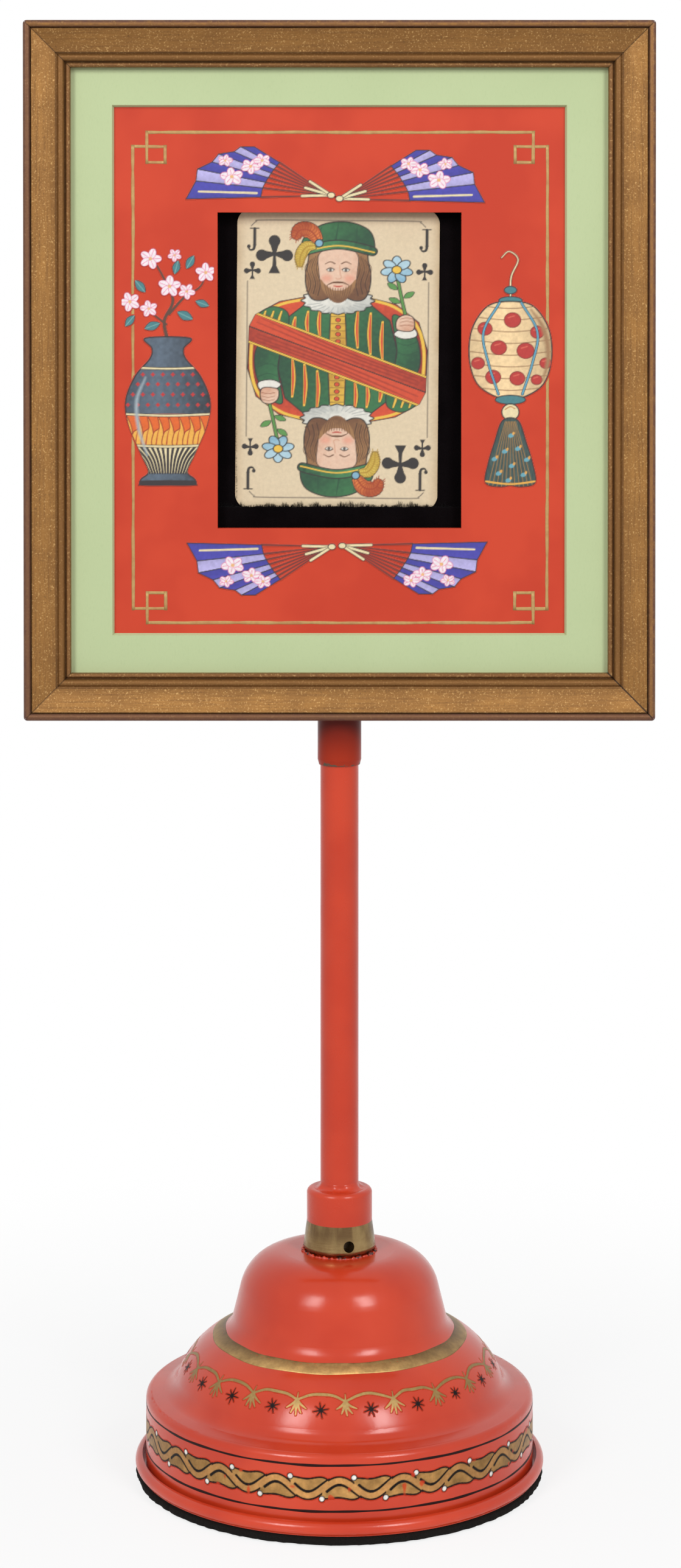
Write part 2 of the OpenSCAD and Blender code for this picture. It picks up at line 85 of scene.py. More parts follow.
def node(tree, kind, sockets=None, **settings):
    """A shader node with its settings and its inputs."""
    made = tree.nodes.new("ShaderNode" + kind)
    for key, value in settings.items():
        setattr(made, key, value)
    for key, value in (sockets or {}).items():
        plug(made, key, value)
    return made


def feed(shader, **sockets):
    """Sets or links inputs of a shader by name, with an underscore for each space."""
    for key, value in sockets.items():
        plug(shader, key.replace("_", " "), value)


def tree_of(*values):
    """The node tree of the first socket among values."""
    return next(v.id_data for v in values if isinstance(v, bpy.types.NodeSocket))


def calc(operation, a, b=0.0, c=0.0):
    """One step of arithmetic between sockets or numbers."""
    return node(tree_of(a, b, c), "Math", {0: a, 1: b, 2: c}, operation=operation).outputs[0]


def times(a, b):
    """The product of two sockets or numbers."""
    return calc("MULTIPLY", a, b)


def span(value, low, high, to_low=0.0, to_high=1.0):
    """Maps low..high smoothly to to_low..to_high and holds the ends."""
    sockets = {"Value": value, "From Min": low, "From Max": high, "To Min": to_low, "To Max": to_high}
    return node(tree_of(value), "MapRange", sockets, interpolation_type="SMOOTHSTEP").outputs[0]


world = bpy.data.worlds.new("white room")
world.use_nodes = True
scene.world = world
ROOM_LIGHT = 0.42
sky = world.node_tree
ray = node(sky, "LightPath")
seen = calc("ADD", ray.outputs["Is Camera Ray"], ray.outputs["Is Glossy Ray"])
seen = calc("ADD", seen, ray.outputs["Is Transmission Ray"])
feed(sky.nodes["Background"], Color=(1, 1, 1, 1), Strength=span(seen, 0.0, 1.0, ROOM_LIGHT, 1.0))

SOFTBOX = (0.36, 0.62)
SOFTBOX_AWAY = 1.25
SOFTBOX_AZIMUTH = 33.0
SOFTBOX_ELEVATION = 32.0
SOFTBOX_POWER = 8.35
AIM = np.array([0.0, 0.0, 0.12])
for side in (-1, 1):
    lamp = bpy.data.lights.new("softbox", "AREA")
    lamp.shape = "RECTANGLE"
    lamp.size, lamp.size_y = SOFTBOX
    lamp.energy = SOFTBOX_POWER
    stand = bpy.data.objects.new("softbox", lamp)
    azimuth = side * math.radians(SOFTBOX_AZIMUTH)
    elevation = math.radians(SOFTBOX_ELEVATION)
    reach = SOFTBOX_AWAY / math.cos(elevation)
    stand.location = AIM + reach * np.array([math.sin(azimuth) * math.cos(elevation),
                                             -math.cos(azimuth) * math.cos(elevation), math.sin(elevation)])
    stand.rotation_euler = (math.pi / 2 - elevation, 0, azimuth)
    scene.collection.objects.link(stand)


def mesh_object(name, vertices, faces, smooth=True):
    """A mesh object at the origin from points in millimetres and lists of corner numbers."""
    mesh = bpy.data.meshes.new(name)
    mesh.from_pydata(np.asarray(vertices) * MM, [], [list(f) for f in faces])
    mesh.polygons.foreach_set("use_smooth", np.full(len(mesh.polygons), smooth))
    mesh.update()
    made = bpy.data.objects.new(name, mesh)
    scene.collection.objects.link(made)
    return made


FLOOR_R = 400.0
FLOOR_COLOUR = (0.93, 0.93, 0.93, 1)
FLOOR_GLOW = 0.8
FLOOR_BOUNCE = 0.2
FLOOR_ROUGH = 0.12
FLOOR_SIDES = 96
FADE_FROM = 0.07
FADE_TO = 0.34
rim = np.linspace(0, 2 * np.pi, FLOOR_SIDES, endpoint=False)
ring = np.stack([FLOOR_R * np.cos(rim), FLOOR_R * np.sin(rim), 0 * rim], 1)
floor = mesh_object("floor", ring, [range(FLOOR_SIDES)])
acrylic = bpy.data.materials.new("white acrylic")
acrylic.use_nodes = True
tree = acrylic.node_tree
gloss = tree.nodes["Principled BSDF"]
feed(gloss, Base_Color=FLOOR_COLOUR, Roughness=FLOOR_ROUGH, Emission_Strength=FLOOR_BOUNCE)
matt = node(tree, "BsdfDiffuse", {"Color": FLOOR_COLOUR})
glow = node(tree, "Emission", {"Strength": 1.0})
pale = node(tree, "MixShader", {0: FLOOR_GLOW, 1: matt.outputs[0], 2: glow.outputs[0]})
ray = node(tree, "LightPath")
place = node(tree, "TexCoord").outputs["Object"]
away = node(tree, "VectorMath", {0: place}, operation="LENGTH").outputs["Value"]
fade = span(away, FADE_FROM, FADE_TO)
laid = node(tree, "MixShader", {0: ray.outputs["Is Camera Ray"], 1: gloss.outputs[0], 2: pale.outputs[0]})
edge = node(tree, "MixShader", {0: fade, 1: laid.outputs[0], 2: node(tree, "BsdfTransparent").outputs[0]})
feed(tree.nodes["Material Output"], Surface=edge.outputs[0])
floor.data.materials.append(acrylic)


# Foot felt
# A disc of coarse black felt glued under the pan, so that the metal doesn't scratch the table.
# Its cut edge is rough, and loose fibres stand out of it all round.
FELT_TURNS = 480
FELT_ROUGH = 0.32
FELT_OUT = np.array([0.0, 0.86, 0.97, 1.0, 1.004, 1.002, 0.985, 0.86, 0.0])
FELT_UP = np.array([0.0, 0.0, 0.04, 0.2, 0.5, 0.8, 0.97, 1.0, 1.0])
FELT_EDGE = 0.95
LATTICE = 97


def mottle(u, v, size, seed):
    """Smooth noise from 0 to 1: a seeded square lattice of random values, blended between its corners."""
    lattice = np.random.default_rng(seed).random((LATTICE, LATTICE))
    u, v = u / size, v / size
    i, j = np.floor(u).astype(int), np.floor(v).astype(int)
    fu, fv = u - i, v - j
    fu, fv = fu * fu * (3 - 2 * fu), fv * fv * (3 - 2 * fv)
    a, b, c, d = (lattice[(i + m) % LATTICE, (j + n) % LATTICE] for n in (0, 1) for m in (0, 1))
    return (a * (1 - fu) + b * fu) * (1 - fv) + (c * (1 - fu) + d * fu) * fv


def grid_faces(rows, columns, around=False):
    """Corner numbers of the squares of a grid of rows by columns, each row closed on itself if around."""
    r, c = np.meshgrid(np.arange(rows - 1), np.arange(columns - (0 if around else 1)), indexing="ij")
    low, n = r.ravel() * columns, (c.ravel() + 1) % columns
    c = c.ravel()
    return np.stack([low + c, low + n, low + columns + n, low + columns + c], 1).tolist()


def full_turn(steps):
    """Angles once round the stem axis, starting from behind: 0 is the front, and they grow to the right."""
    return np.linspace(-np.pi, np.pi, steps, endpoint=False)


def turned(radius, height, turns):
    """Points of a profile, radius and height, carried round the stem axis in steps of a full turn."""
    angle = full_turn(turns)
    shape = (len(radius), turns)
    radius = np.broadcast_to(np.reshape(radius, (len(radius), -1)), shape)
    height = np.broadcast_to(np.reshape(height, (len(height), -1)), shape)
    return np.stack([radius * np.sin(angle), -radius * np.cos(angle), height], -1).reshape(-1, 3)


felt_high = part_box("foot_felt")[1]
felt_r, felt_t = felt_high.x / MM, felt_high.z / MM
angle = full_turn(FELT_TURNS)
arc = (angle + np.pi) * felt_r
ragged = 1.3 * mottle(arc, 0 * arc, 1.1, 3) + 0.7 * mottle(arc, 0 * arc, 4.0, 4) - 1.0
bulge = np.where((FELT_OUT > FELT_EDGE)[:, None], FELT_ROUGH * ragged, 0.0)
felt_points = turned(FELT_OUT[:, None] * felt_r + bulge, FELT_UP * felt_t, FELT_TURNS)
felt = mesh_object("foot_felt_rough", felt_points, grid_faces(len(FELT_OUT), FELT_TURNS, True))


def finish_for(name):
    """A new node material: the material, its Principled shader and its Object coordinates."""
    made = bpy.data.materials.new(name)
    made.use_nodes = True
    tree = made.node_tree
    return made, tree.nodes["Principled BSDF"], node(tree, "TexCoord").outputs["Object"]


def noise(where, size, detail=3.0, rough=0.55):
    """Noise from 0 to 1 whose patches are about size millimetres across."""
    sockets = {"Vector": where, "Scale": 1 / (size * MM), "Detail": detail, "Roughness": rough}
    return node(tree_of(where), "TexNoise", sockets).outputs[0]


def mixed(share, first, second):
    """The first colour where share is 0, the second where it is 1."""
    return node(tree_of(share), "Mix", {0: share, 6: first, 7: second}, data_type="RGBA").outputs[2]


def bump(shader, height, depth):
    """Raises the surface by height times depth millimetres."""
    made = node(tree_of(height), "Bump", {"Height": height, "Distance": depth * MM, "Strength": 1.0})
    feed(shader, Normal=made.outputs[0])


def grained(name, dark, light, size, detail, rough=0.55, depth=None, **sockets):
    """A plain finish: noise mixes two colours and, where depth is given, raises the surface."""
    made, shader, place = finish_for(name)
    grain = noise(place, size, detail, rough)
    feed(shader, Base_Color=mixed(grain, dark, light), **sockets)
    if depth:
        bump(shader, grain, depth)
    return made


def fit(piece, material, body):
    """Finishes a piece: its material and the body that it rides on."""
    piece.data.materials.append(material)
    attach(piece, body)


felt_finish = grained("coarse black felt", (0.003, 0.003, 0.003, 1), (0.02, 0.017, 0.015, 1), 0.5, 6.0,
                      rough=0.7, depth=0.5, Roughness=0.95, Specular_IOR_Level=0.1)
fit(felt, felt_finish, "base")
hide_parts("foot_felt")


# Base pan, weight and spun shell
# The pan and the shell are spun from thin sheet and dipped in glossy orange-red enamel. A cast weight fills
# the shell and a steel tie rod with nuts pulls shell, weight and pan together.
RED = (0.60, 0.050, 0.015, 1)
RED_DEEP = (0.53, 0.037, 0.010, 1)
RED_SHADED = (0.115, 0.008, 0.004, 1)
SOOT = (0.03, 0.018, 0.015, 1)
BARE_METAL = (0.11, 0.085, 0.06, 1)
SPECK_APART = 14.0
SPECK_FEW = 0.7


def axes_of(place):
    """The X, Y and Z sockets of coordinates."""
    return node(tree_of(place), "SeparateXYZ", {0: place}).outputs


def enamel(name, gloss=0.2, chips=None, painted_shade=None, bare=None):
    """Cloudy red enamel with fine orange peel and a few dark specks.

    chips is (height, reach): paint is missing in ragged spots within reach millimetres of that height.
    painted_shade is (low, high): painted shade darkens the enamel from the one height to the other.
    bare is a height below which the metal was never painted.
    """
    made, shader, place = finish_for(name)
    cloud = noise(place, 30.0)
    colour = mixed(span(cloud, 0.35, 0.65), RED, RED_DEEP)
    cells = node(made.node_tree, "TexVoronoi", {"Vector": place, "Scale": 1 / (SPECK_APART * MM)})
    lot = node(made.node_tree, "SeparateColor", {0: cells.outputs["Color"]}).outputs[0]
    few = calc("GREATER_THAN", lot, SPECK_FEW)
    speck = times(few, span(cells.outputs["Distance"], 0.018, 0.034, 1.0, 0.0))
    colour = mixed(times(speck, 0.8), colour, SOOT)
    peel = noise(place, 1.4, 2.0)
    rough = span(noise(place, 9.0), 0.3, 0.7, gloss - 0.03, gloss + 0.05)
    metal = None
    up = axes_of(place)["Z"]
    # Painted shade: the enamel gets darker from the lower height to the upper one.
    if painted_shade:
        dull = span(up, painted_shade[0] * MM, painted_shade[1] * MM, 0.45, 0.97)
        colour = mixed(dull, colour, RED_SHADED)
    if chips:
        near = calc("ABSOLUTE", calc("SUBTRACT", up, chips[0] * MM))
        near = span(near, 0.0, chips[1] * MM, 0.1, -0.4)
        metal = span(calc("ADD", noise(place, 2.6, 4.0, 0.6), near), 0.58, 0.62)
    if bare:
        metal = calc("LESS_THAN", up, bare * MM)
    if metal:
        colour = mixed(metal, colour, BARE_METAL)
        rough = calc("ADD", rough, times(metal, 0.25))
        feed(shader, Metallic=times(metal, 0.7))
    feed(shader, Base_Color=colour, Roughness=rough, Specular_IOR_Level=0.15 if painted_shade else 0.4)
    bump(shader, peel, 0.012)
    return made


def dress(material, *names):
    """Gives CAD nodes this material."""
    for name in names:
        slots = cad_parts[name].data.materials
        slots.clear()
        slots.append(material)


def turned_ring(name, radius, height, turns, first, last):
    """A closed ring: a profile carried round the stem axis, smooth from strip first to last."""
    joined = np.array(grid_faces(len(radius) + 1, turns, True)) % (len(radius) * turns)
    made = mesh_object(name, turned(radius, height, turns), joined.tolist())
    strip = np.arange(len(joined)) // turns
    made.data.polygons.foreach_set("use_smooth", (strip >= first) & (strip <= last))
    return made


base_enamel = enamel("glossy red enamel")
dress(base_enamel, "base_pan", "base_shell")

drum_r = 56.35
bell_mid = (24.4, 19.0)
bell_r = 24.8
BELL_FOOT = np.array([48.3, 25.6])
LEDGE_DROP = 10.0
CURL_R = 5.0
CURL_SINK = 0.012
CURL_EDGE = 0.12
CURL_PAST = 0.65
CURL_LAP = math.radians(1.5)
CURL_TURNS = 360
CURL_STEPS = 14
CURL_IN = 0.7
slope = math.radians(LEDGE_DROP)
down, out = np.array([math.cos(slope), -math.sin(slope)]), np.array([math.sin(slope), math.cos(slope)])
lift = BELL_FOOT + CURL_R * out - bell_mid
run = -lift @ down + math.sqrt((lift @ down) ** 2 - lift @ lift + (bell_r + CURL_R) ** 2)
curl_mid = lift + run * down
sweep = np.linspace(math.atan2(*-out[::-1]), math.atan2(*-curl_mid[::-1]), CURL_STEPS)
curl = bell_mid + curl_mid * (1 - CURL_SINK / bell_r) + CURL_R * np.stack([np.cos(sweep), np.sin(sweep)], 1)
touch = math.atan2(curl_mid[1], curl_mid[0]) + CURL_LAP
under_bell = bell_mid + (bell_r - CURL_EDGE) * np.array([math.cos(touch), math.sin(touch)])
under_ledge = curl[0] + CURL_PAST * down - CURL_EDGE * out
curl = np.vstack([under_ledge, curl, under_bell, BELL_FOOT - CURL_IN])
foot_curl = turned_ring("bell_foot_curl", *curl.T, CURL_TURNS, 0, len(sweep))
fit(foot_curl, base_enamel, "base")

cast_finish = grained("rough casting", (0.05, 0.05, 0.05, 1), (0.16, 0.155, 0.15, 1), 1.2, 6.0, depth=0.4,
                      Roughness=0.8, Metallic=0.6)
dress(cast_finish, "base_weight")

STEEL_DULL = (0.36, 0.35, 0.33, 1)
STEEL_BRIGHT = (0.58, 0.57, 0.55, 1)
steel_finish, shader, place = finish_for("plain steel")
dull = noise(place, 5.0, 5.0)
feed(shader, Base_Color=mixed(dull, STEEL_DULL, STEEL_BRIGHT), Roughness=span(dull, 0.2, 0.8, 0.28, 0.5),
     Metallic=1.0)
dress(steel_finish, "tie_rod", "tie_washer", "tie_nut", "weight_nut", "ring_nut", "corner_wedges")

# Painted bands of the base
# A bronze ring under the neck, bronze swags with black stars on the bell, and on the drum a bronze vine with
# white pearls between two black lines, all painted on a wheel. Each band is a film of paint.
PAINT_T = 0.015
BRONZE = (0.60, 0.31, 0.105)
BRONZE_PALE = (0.43, 0.28, 0.105)
BLACK_LINE = (0.006, 0.004, 0.004)
PEARL = (0.82, 0.80, 0.74)
TINY = 1e-12
FAR = 1e9
COVERED = 0.01
DISC_STEPS = 28


def film(name, grid, inwards, around=False):
    """A closed film of paint from a grid of points, rows by columns.

    The back is laid straight from the first row to the last, moved by inwards, and the open edges are closed.
    """
    rows, columns = grid.shape[:2]
    back = np.stack([grid[0] + inwards[0], grid[-1] + inwards[-1]])
    vertices = np.concatenate([grid.reshape(-1, 3), back.reshape(-1, 3)])
    faces = grid_faces(rows, columns, around)
    seen = len(faces)
    c = np.arange(columns if around else columns - 1)
    n = (c + 1) % columns
    low, high = rows * columns, (rows + 1) * columns
    last = (rows - 1) * columns
    faces += np.stack([low + c, low + n, n, c], 1).tolist()
    faces += np.stack([last + c, last + n, high + n, high + c], 1).tolist()
    faces += np.stack([high + c, high + n, low + n, low + c], 1).tolist()
    if not around:
        left = (np.arange(rows) * columns).tolist()
        right = (np.arange(rows) * columns + columns - 1).tolist()
        faces += [[low] + left + [high], [high + columns - 1] + right[::-1] + [low + columns - 1]]
    made = mesh_object(name, vertices, faces)
    made.data.polygons.foreach_set("use_smooth", np.arange(len(faces)) < seen)
    return made


def ring_grid(radius, height, turns, sink=0.2):
    """A grid round the stem axis, just outside a surface, with rows from low to high, and the way into it."""
    grid = turned(radius + PAINT_T, height, turns).reshape(len(radius), turns, 3)
    out = grid * (1, 1, 0)
    return grid, -sink * out / np.linalg.norm(out, axis=-1, keepdims=True)


def coat_for(u, v):
    """An empty coat of paint on sample points: colour, cover of the ground, and how metallic it is."""
    u, v = np.broadcast_arrays(np.asarray(u, float), np.asarray(v, float))
    u, v = u.ravel(), v.ravel()
    return {"u": u, "v": v, "rgb": np.zeros((u.size, 3)), "cover": np.zeros(u.size), "gilt": np.zeros(u.size)}


EVERYWHERE = slice(None)


def lay(coat, chosen, mask, colour, gilt=0.0):
    """Lays a colour over the chosen samples of a coat, as thick as mask says, and only inside its stencil."""
    if "stencil" in coat:
        mask = mask * coat["stencil"][chosen]
    u, v = coat["u"][chosen], coat["v"][chosen]
    colour = np.asarray(colour(u, v) if callable(colour) else colour, float)
    coat["rgb"][chosen] += mask[:, None] * (colour - coat["rgb"][chosen])
    coat["gilt"][chosen] += mask * (gilt - coat["gilt"][chosen])
    coat["cover"][chosen] += mask * (1 - coat["cover"][chosen])


def curve(points, steps=7, closed=False):
    """A smooth line through given points, by cubic pieces whose slopes follow the neighbouring points."""
    p = np.asarray(points, float)
    ends = (p[-1:], p[:2]) if closed else (2 * p[:1] - p[1:2], 2 * p[-1:] - p[-2:-1])
    q = np.concatenate([ends[0], p, ends[1]])
    t = np.linspace(0, 1, steps, endpoint=False)[None, :, None]
    a, b, c, d = (q[k:len(q) - 3 + k, None, :] for k in range(4))
    bend, twist = 2 * a - 5 * b + 4 * c - d, 3 * b - a - 3 * c + d
    line = (0.5 * (2 * b + (c - a) * t + bend * t ** 2 + twist * t ** 3)).reshape(-1, 2)
    return line if closed else np.concatenate([line, p[-1:]])


def gap_to(u, v, line):
    """Least distance from each sample to a broken line, and how far along it, 0 to 1, that point is."""
    best = np.full(u.shape, FAR)
    along = np.zeros(u.shape)
    for k, (a, b) in enumerate(zip(line[:-1], line[1:])):
        d = b - a
        t = np.clip(((u - a[0]) * d[0] + (v - a[1]) * d[1]) / max(d @ d, TINY), 0, 1)
        gap = np.hypot(u - a[0] - t * d[0], v - a[1] - t * d[1])
        along = np.where(gap < best, (k + t) / (len(line) - 1), along)
        best = np.minimum(best, gap)
    return best, along


def close_to(coat, line, reach):
    """Numbers of the samples within reach of the box round a line."""
    low, high = line.min(0) - reach, line.max(0) + reach
    u, v = coat["u"], coat["v"]
    return np.flatnonzero((u > low[0]) & (u < high[0]) & (v > low[1]) & (v < high[1]))


def within(gap, soft):
    """1 where a gap is below zero and 0 where it is above, blended over soft."""
    return np.clip(0.5 - gap / soft, 0, 1)


def stroke(coat, points, width, colour, ends=(1.0, 1.0), belly=0.0, soft=0.18, bent=True, gilt=0.0):
    """A brush stroke along points: ends give its width at both ends as shares, belly swells the middle."""
    line = curve(points) if bent and len(points) > 2 else np.asarray(points, float)
    chosen = close_to(coat, line, width)
    gap, along = gap_to(coat["u"][chosen], coat["v"][chosen], line)
    half = width / 2 * (ends[0] + (ends[1] - ends[0]) * along + belly * np.sin(np.pi * along))
    lay(coat, chosen, within(gap - half, soft), colour, gilt)


def fill(coat, points, colour, soft=0.18, bent=True, edge=None, edge_w=0.3):
    """A filled outline, with an inked edge if a colour is given for it. A sample is inside if a line from it
    to the right crosses the outline an odd number of times."""
    line = curve(points, closed=True) if bent else np.asarray(points, float)
    line = np.concatenate([line, line[:1]])
    chosen = close_to(coat, line, soft + edge_w)
    u, v = coat["u"][chosen], coat["v"][chosen]
    gap, _ = gap_to(u, v, line)
    odd = np.zeros(u.shape, bool)
    for a, b in zip(line[:-1], line[1:]):
        if a[1] != b[1]:
            crossing = (b[0] - a[0]) * (v - a[1]) / (b[1] - a[1]) + a[0]
            odd ^= ((a[1] > v) != (b[1] > v)) & (u < crossing)
    lay(coat, chosen, within(np.where(odd, -gap, gap), soft), colour)
    if edge is not None:
        lay(coat, chosen, within(gap - edge_w / 2, soft), edge)


def aim(degrees):
    """The way that an angle points: 0 is right, 90 is up."""
    return np.array([math.cos(math.radians(degrees)), math.sin(math.radians(degrees))])


def disc(coat, middle, radii, colour, turn=0.0, soft=0.18, edge=None, edge_w=0.3):
    """A filled ellipse, turned by degrees, with an inked edge if a colour is given for it."""
    t = np.linspace(0, 2 * np.pi, DISC_STEPS, endpoint=False)
    radii = np.broadcast_to(radii, 2)
    x, y = radii[0] * np.cos(t), radii[1] * np.sin(t)
    c, s = aim(turn)
    outline = np.stack([middle[0] + c * x - s * y, middle[1] + s * x + c * y], 1)
    fill(coat, outline, colour, soft, False, edge, edge_w)


def put_paint(piece, coat, sample=None):
    """Stores a coat on the points of a film: colour with its cover as alpha, and gilt.

    sample gives the number of the sample at each point. Without it the samples are the first points.
    """
    if sample is None:
        sample = np.minimum(np.arange(len(piece.data.vertices)), coat["u"].size - 1)
    rgba = np.concatenate([coat["rgb"], coat["cover"][:, None]], 1)[sample].astype(np.float32)
    piece.data.attributes.new("paint", "FLOAT_COLOR", "POINT").data.foreach_set("color", rgba.ravel())
    gilt = coat["gilt"][sample].astype(np.float32)
    piece.data.attributes.new("gilt", "FLOAT", "POINT").data.foreach_set("value", gilt)


def cut_film(name, grid, inwards, coat, around=False):
    """A closed film of paint, cut out to the squares of a grid that its coat covers.

    It has the covered squares, the same squares moved by inwards as its back, and walls along the cut.
    Squares that would only touch at a corner are joined by one more.
    """
    rows, columns = grid.shape[:2]
    corners = np.array(grid_faces(rows, columns, around)).reshape(rows - 1, -1, 4)
    covered = coat["cover"][corners].max(2) > COVERED
    if around:
        covered[:, 0] |= covered[:, -1]
        covered[:, -1] |= covered[:, 0]
    for _ in range(4):
        a, b, c, d = covered[:-1, :-1], covered[:-1, 1:], covered[1:, :-1], covered[1:, 1:]
        down, up = a & d & ~b & ~c, b & c & ~a & ~d
        covered[:-1, 1:] |= down
        covered[:-1, :-1] |= up
    beside = np.pad(covered, 1)
    if around:
        beside[:, 0], beside[:, -1] = beside[:, -2].copy(), beside[:, 1].copy()
    beside = beside[:-2, 1:-1], beside[1:-1, 2:], beside[2:, 1:-1], beside[1:-1, :-2]
    count = rows * columns
    front = corners[covered]
    faces = [front, front[:, ::-1] + count]
    for side in range(4):
        a, b = corners[covered & ~beside[side]][:, [side, (side + 1) % 4]].T
        faces.append(np.stack([b, a, a + count, b + count], 1))
    used, faces = np.unique(np.concatenate(faces), return_inverse=True)
    faces = faces.reshape(-1, 4)
    points = np.concatenate([grid.reshape(-1, 3), (grid + inwards).reshape(-1, 3)])[used]
    made = mesh_object(name, points, faces)
    made.data.polygons.foreach_set("use_smooth", np.arange(len(faces)) < len(front))
    put_paint(made, coat, used % count)
    return made


def painted(name, ground, ground_deep, rough, gilt_rough=0.42, wear=(0.78, 1.12), stroke_rough=0.0):
    """Brushwork on a ground: the ground shows where the paint covers nothing, and gilt paint is bronze."""
    made, shader, place = finish_for(name)
    cloud = span(noise(place, 30.0), 0.35, 0.65)
    tree = made.node_tree
    paint = node(tree, "Attribute", attribute_name="paint")
    gilt = node(tree, "Attribute", attribute_name="gilt").outputs["Fac"]
    worn = span(noise(place, 1.1, 5.0, 0.65), 0.25, 0.8, *wear)
    tone = node(tree, "VectorMath", {0: paint.outputs["Color"], "Scale": worn}, operation="SCALE").outputs[0]
    colour = mixed(paint.outputs["Alpha"], mixed(cloud, ground, ground_deep), tone)
    feed(shader, Base_Color=colour, Metallic=times(gilt, 0.55))
    matt = calc("MULTIPLY_ADD", paint.outputs["Alpha"], stroke_rough, rough)
    feed(shader, Roughness=span(gilt, 0.0, 1.0, matt, gilt_rough))
    bump(shader, noise(place, 1.4, 2.0), 0.012)
    return made


base_paint = painted("bronze and black brushwork on enamel", RED, RED_DEEP, 0.24, stroke_rough=0.26)
feed(base_paint.node_tree.nodes["Principled BSDF"], Specular_IOR_Level=0.12)
VINE_Z = 15.3
VINE_REACH = 4.3
VINE_REPEATS = 20
VINE_SWING = 2.3
STRAND_W = 1.8
VINE_TURNS = 1760
VINE_ROWS = 44
LEAF_FROM = 3.5
LEAF_TO = 14.9
CRESCENT_FROM = 5.0
CRESCENT_W = 0.42
PEARL_AT = (4.0, 2.95)
PEARL_R = 0.64
PEARL_RIM = 0.92
OUTLINE_W = 0.26
LEAF_FADE = 0.2
VINE_SOFT = 0.14
LEAF_GOLD = (0.49, 0.27, 0.088)
period = 2 * np.pi * drum_r / VINE_REPEATS
leaf_top = curve([(3.4, 2.5), (4.8, 2.85), (8.7, 2.5), (12.2, 3.05), (13.9, 2.75), (14.9, 2.0)], 12)


def shaded(colour, gain):
    """A colour for lay: the given one times a gain, which is a function of the sample's place."""
    return lambda u, v: np.asarray(colour) * gain(u, v)[:, None]


def vine(coat):
    """A wavy bronze strand whose hollows are filled with leaves: the strand is a cosine, and the lower leaves
    are the upper ones half a repeat further on, upside down. A black crescent parts each leaf from the
    strand, a thin black line runs round the outside, and a pearl sits where each leaf springs from it."""
    u, v = coat["u"], coat["v"]
    leaf_tone = shaded(LEAF_GOLD, lambda a, b: 0.7 + 0.55 * mottle(a, b, 1.7, 12))
    strand_tone = shaded(BRONZE, lambda a, b: 0.85 + 0.3 * mottle(a, b, 2.3, 13))
    wave = 2 * np.pi / period
    halves = []
    for flip in (1, -1):
        x = np.mod(u + (0 if flip > 0 else period / 2), period)
        y = flip * v
        strand = VINE_SWING * np.cos(wave * x)
        steep = np.hypot(1, VINE_SWING * wave * np.sin(wave * x))
        top = np.interp(x, leaf_top[:, 0], leaf_top[:, 1])
        there = np.clip((x - LEAF_FROM) / LEAF_FADE, 0, 1) * np.clip((LEAF_TO - x) / LEAF_FADE, 0, 1)
        lay(coat, EVERYWHERE, within(-np.minimum(top - y, y - strand), VINE_SOFT) * there, leaf_tone, 1.0)
        past = np.clip((x - LEAF_FROM - 0.8) / LEAF_FADE, 0, 1)
        lay(coat, EVERYWHERE, within(np.abs(y - top) - OUTLINE_W, VINE_SOFT) * past * there, BLACK_LINE)
        halves.append((x, y, (y - strand) / steep))
    lay(coat, EVERYWHERE, within(np.abs(halves[0][2]) - STRAND_W / 2, VINE_SOFT), strand_tone, 1.0)
    for x, y, out in halves:
        beside = out - STRAND_W / 2
        crest = (x < LEAF_FROM + 0.6) | (x > LEAF_TO - 0.4)
        lay(coat, EVERYWHERE, within(np.abs(beside) - 0.25, VINE_SOFT) * crest, BLACK_LINE)
        share = np.clip((x - CRESCENT_FROM) / (LEAF_TO - CRESCENT_FROM), 0, 1)
        thick = CRESCENT_W * np.sqrt(np.clip((x - CRESCENT_FROM) / 0.5, 0, 1)) * (1 - 0.5 * share ** 2)
        thick = thick * (x < LEAF_TO)
        crescent = within(np.abs(beside - thick) - thick, VINE_SOFT) * (thick > 0.02)
        lay(coat, EVERYWHERE, crescent, BLACK_LINE)
        gap = np.hypot(x - PEARL_AT[0], y - PEARL_AT[1])
        lay(coat, EVERYWHERE, within(gap - PEARL_RIM, VINE_SOFT), BLACK_LINE)
        lay(coat, EVERYWHERE, within(gap - PEARL_R, VINE_SOFT), PEARL)
    coat["cover"] *= np.clip((0.94 - mottle(u, v, 2.6, 11)) / 0.06, 0.2, 1)


SIDE_SHADE = 0.68
FRONT_ARC = 0.55
FRONT_MID = -0.08


def shade_sides(coat, radius, side_shade):
    """Painted shade on bronze paint: it keeps its full colour in front and falls to a share of it round the
    sides, where the metal looks darker in the studio light: the gain is a bell curve of the angle."""
    angle = coat["u"] / radius - FRONT_MID
    gain = side_shade + (1 - side_shade) * np.exp(-(angle / FRONT_ARC) ** 2)
    coat["rgb"] *= (1 - coat["gilt"] * (1 - gain))[:, None]


rows = np.linspace(-VINE_REACH, VINE_REACH, VINE_ROWS)
turn = full_turn(VINE_TURNS)
coat = coat_for(turn[None] * drum_r, rows[:, None])
vine(coat)
shade_sides(coat, drum_r, SIDE_SHADE)
band = cut_film("drum_vine", *ring_grid(np.full(len(rows), drum_r), VINE_Z + rows, VINE_TURNS), coat, True)

bands = [band]
LINE_W = 0.6
for name, height in (("drum_line_top", 21.6), ("drum_line_low", 8.9)):
    waver = 0.05 * np.sin(5 * turn) + 0.04 * np.sin(17 * turn + 1)
    swell = LINE_W / 2 * (1 + 0.2 * np.sin(9 * turn + height) + 0.12 * np.sin(31 * turn))
    rows = np.array([-1, -0.5, 0.5, 1])[:, None]
    line = film(name, *ring_grid(np.full(4, drum_r), height + waver + rows * swell, VINE_TURNS), True)
    coat = coat_for(turn[None] * drum_r, rows + 0 * turn)
    lay(coat, EVERYWHERE, np.full(coat["u"].size, 0.98), BLACK_LINE)
    put_paint(line, coat)
    bands.append(line)

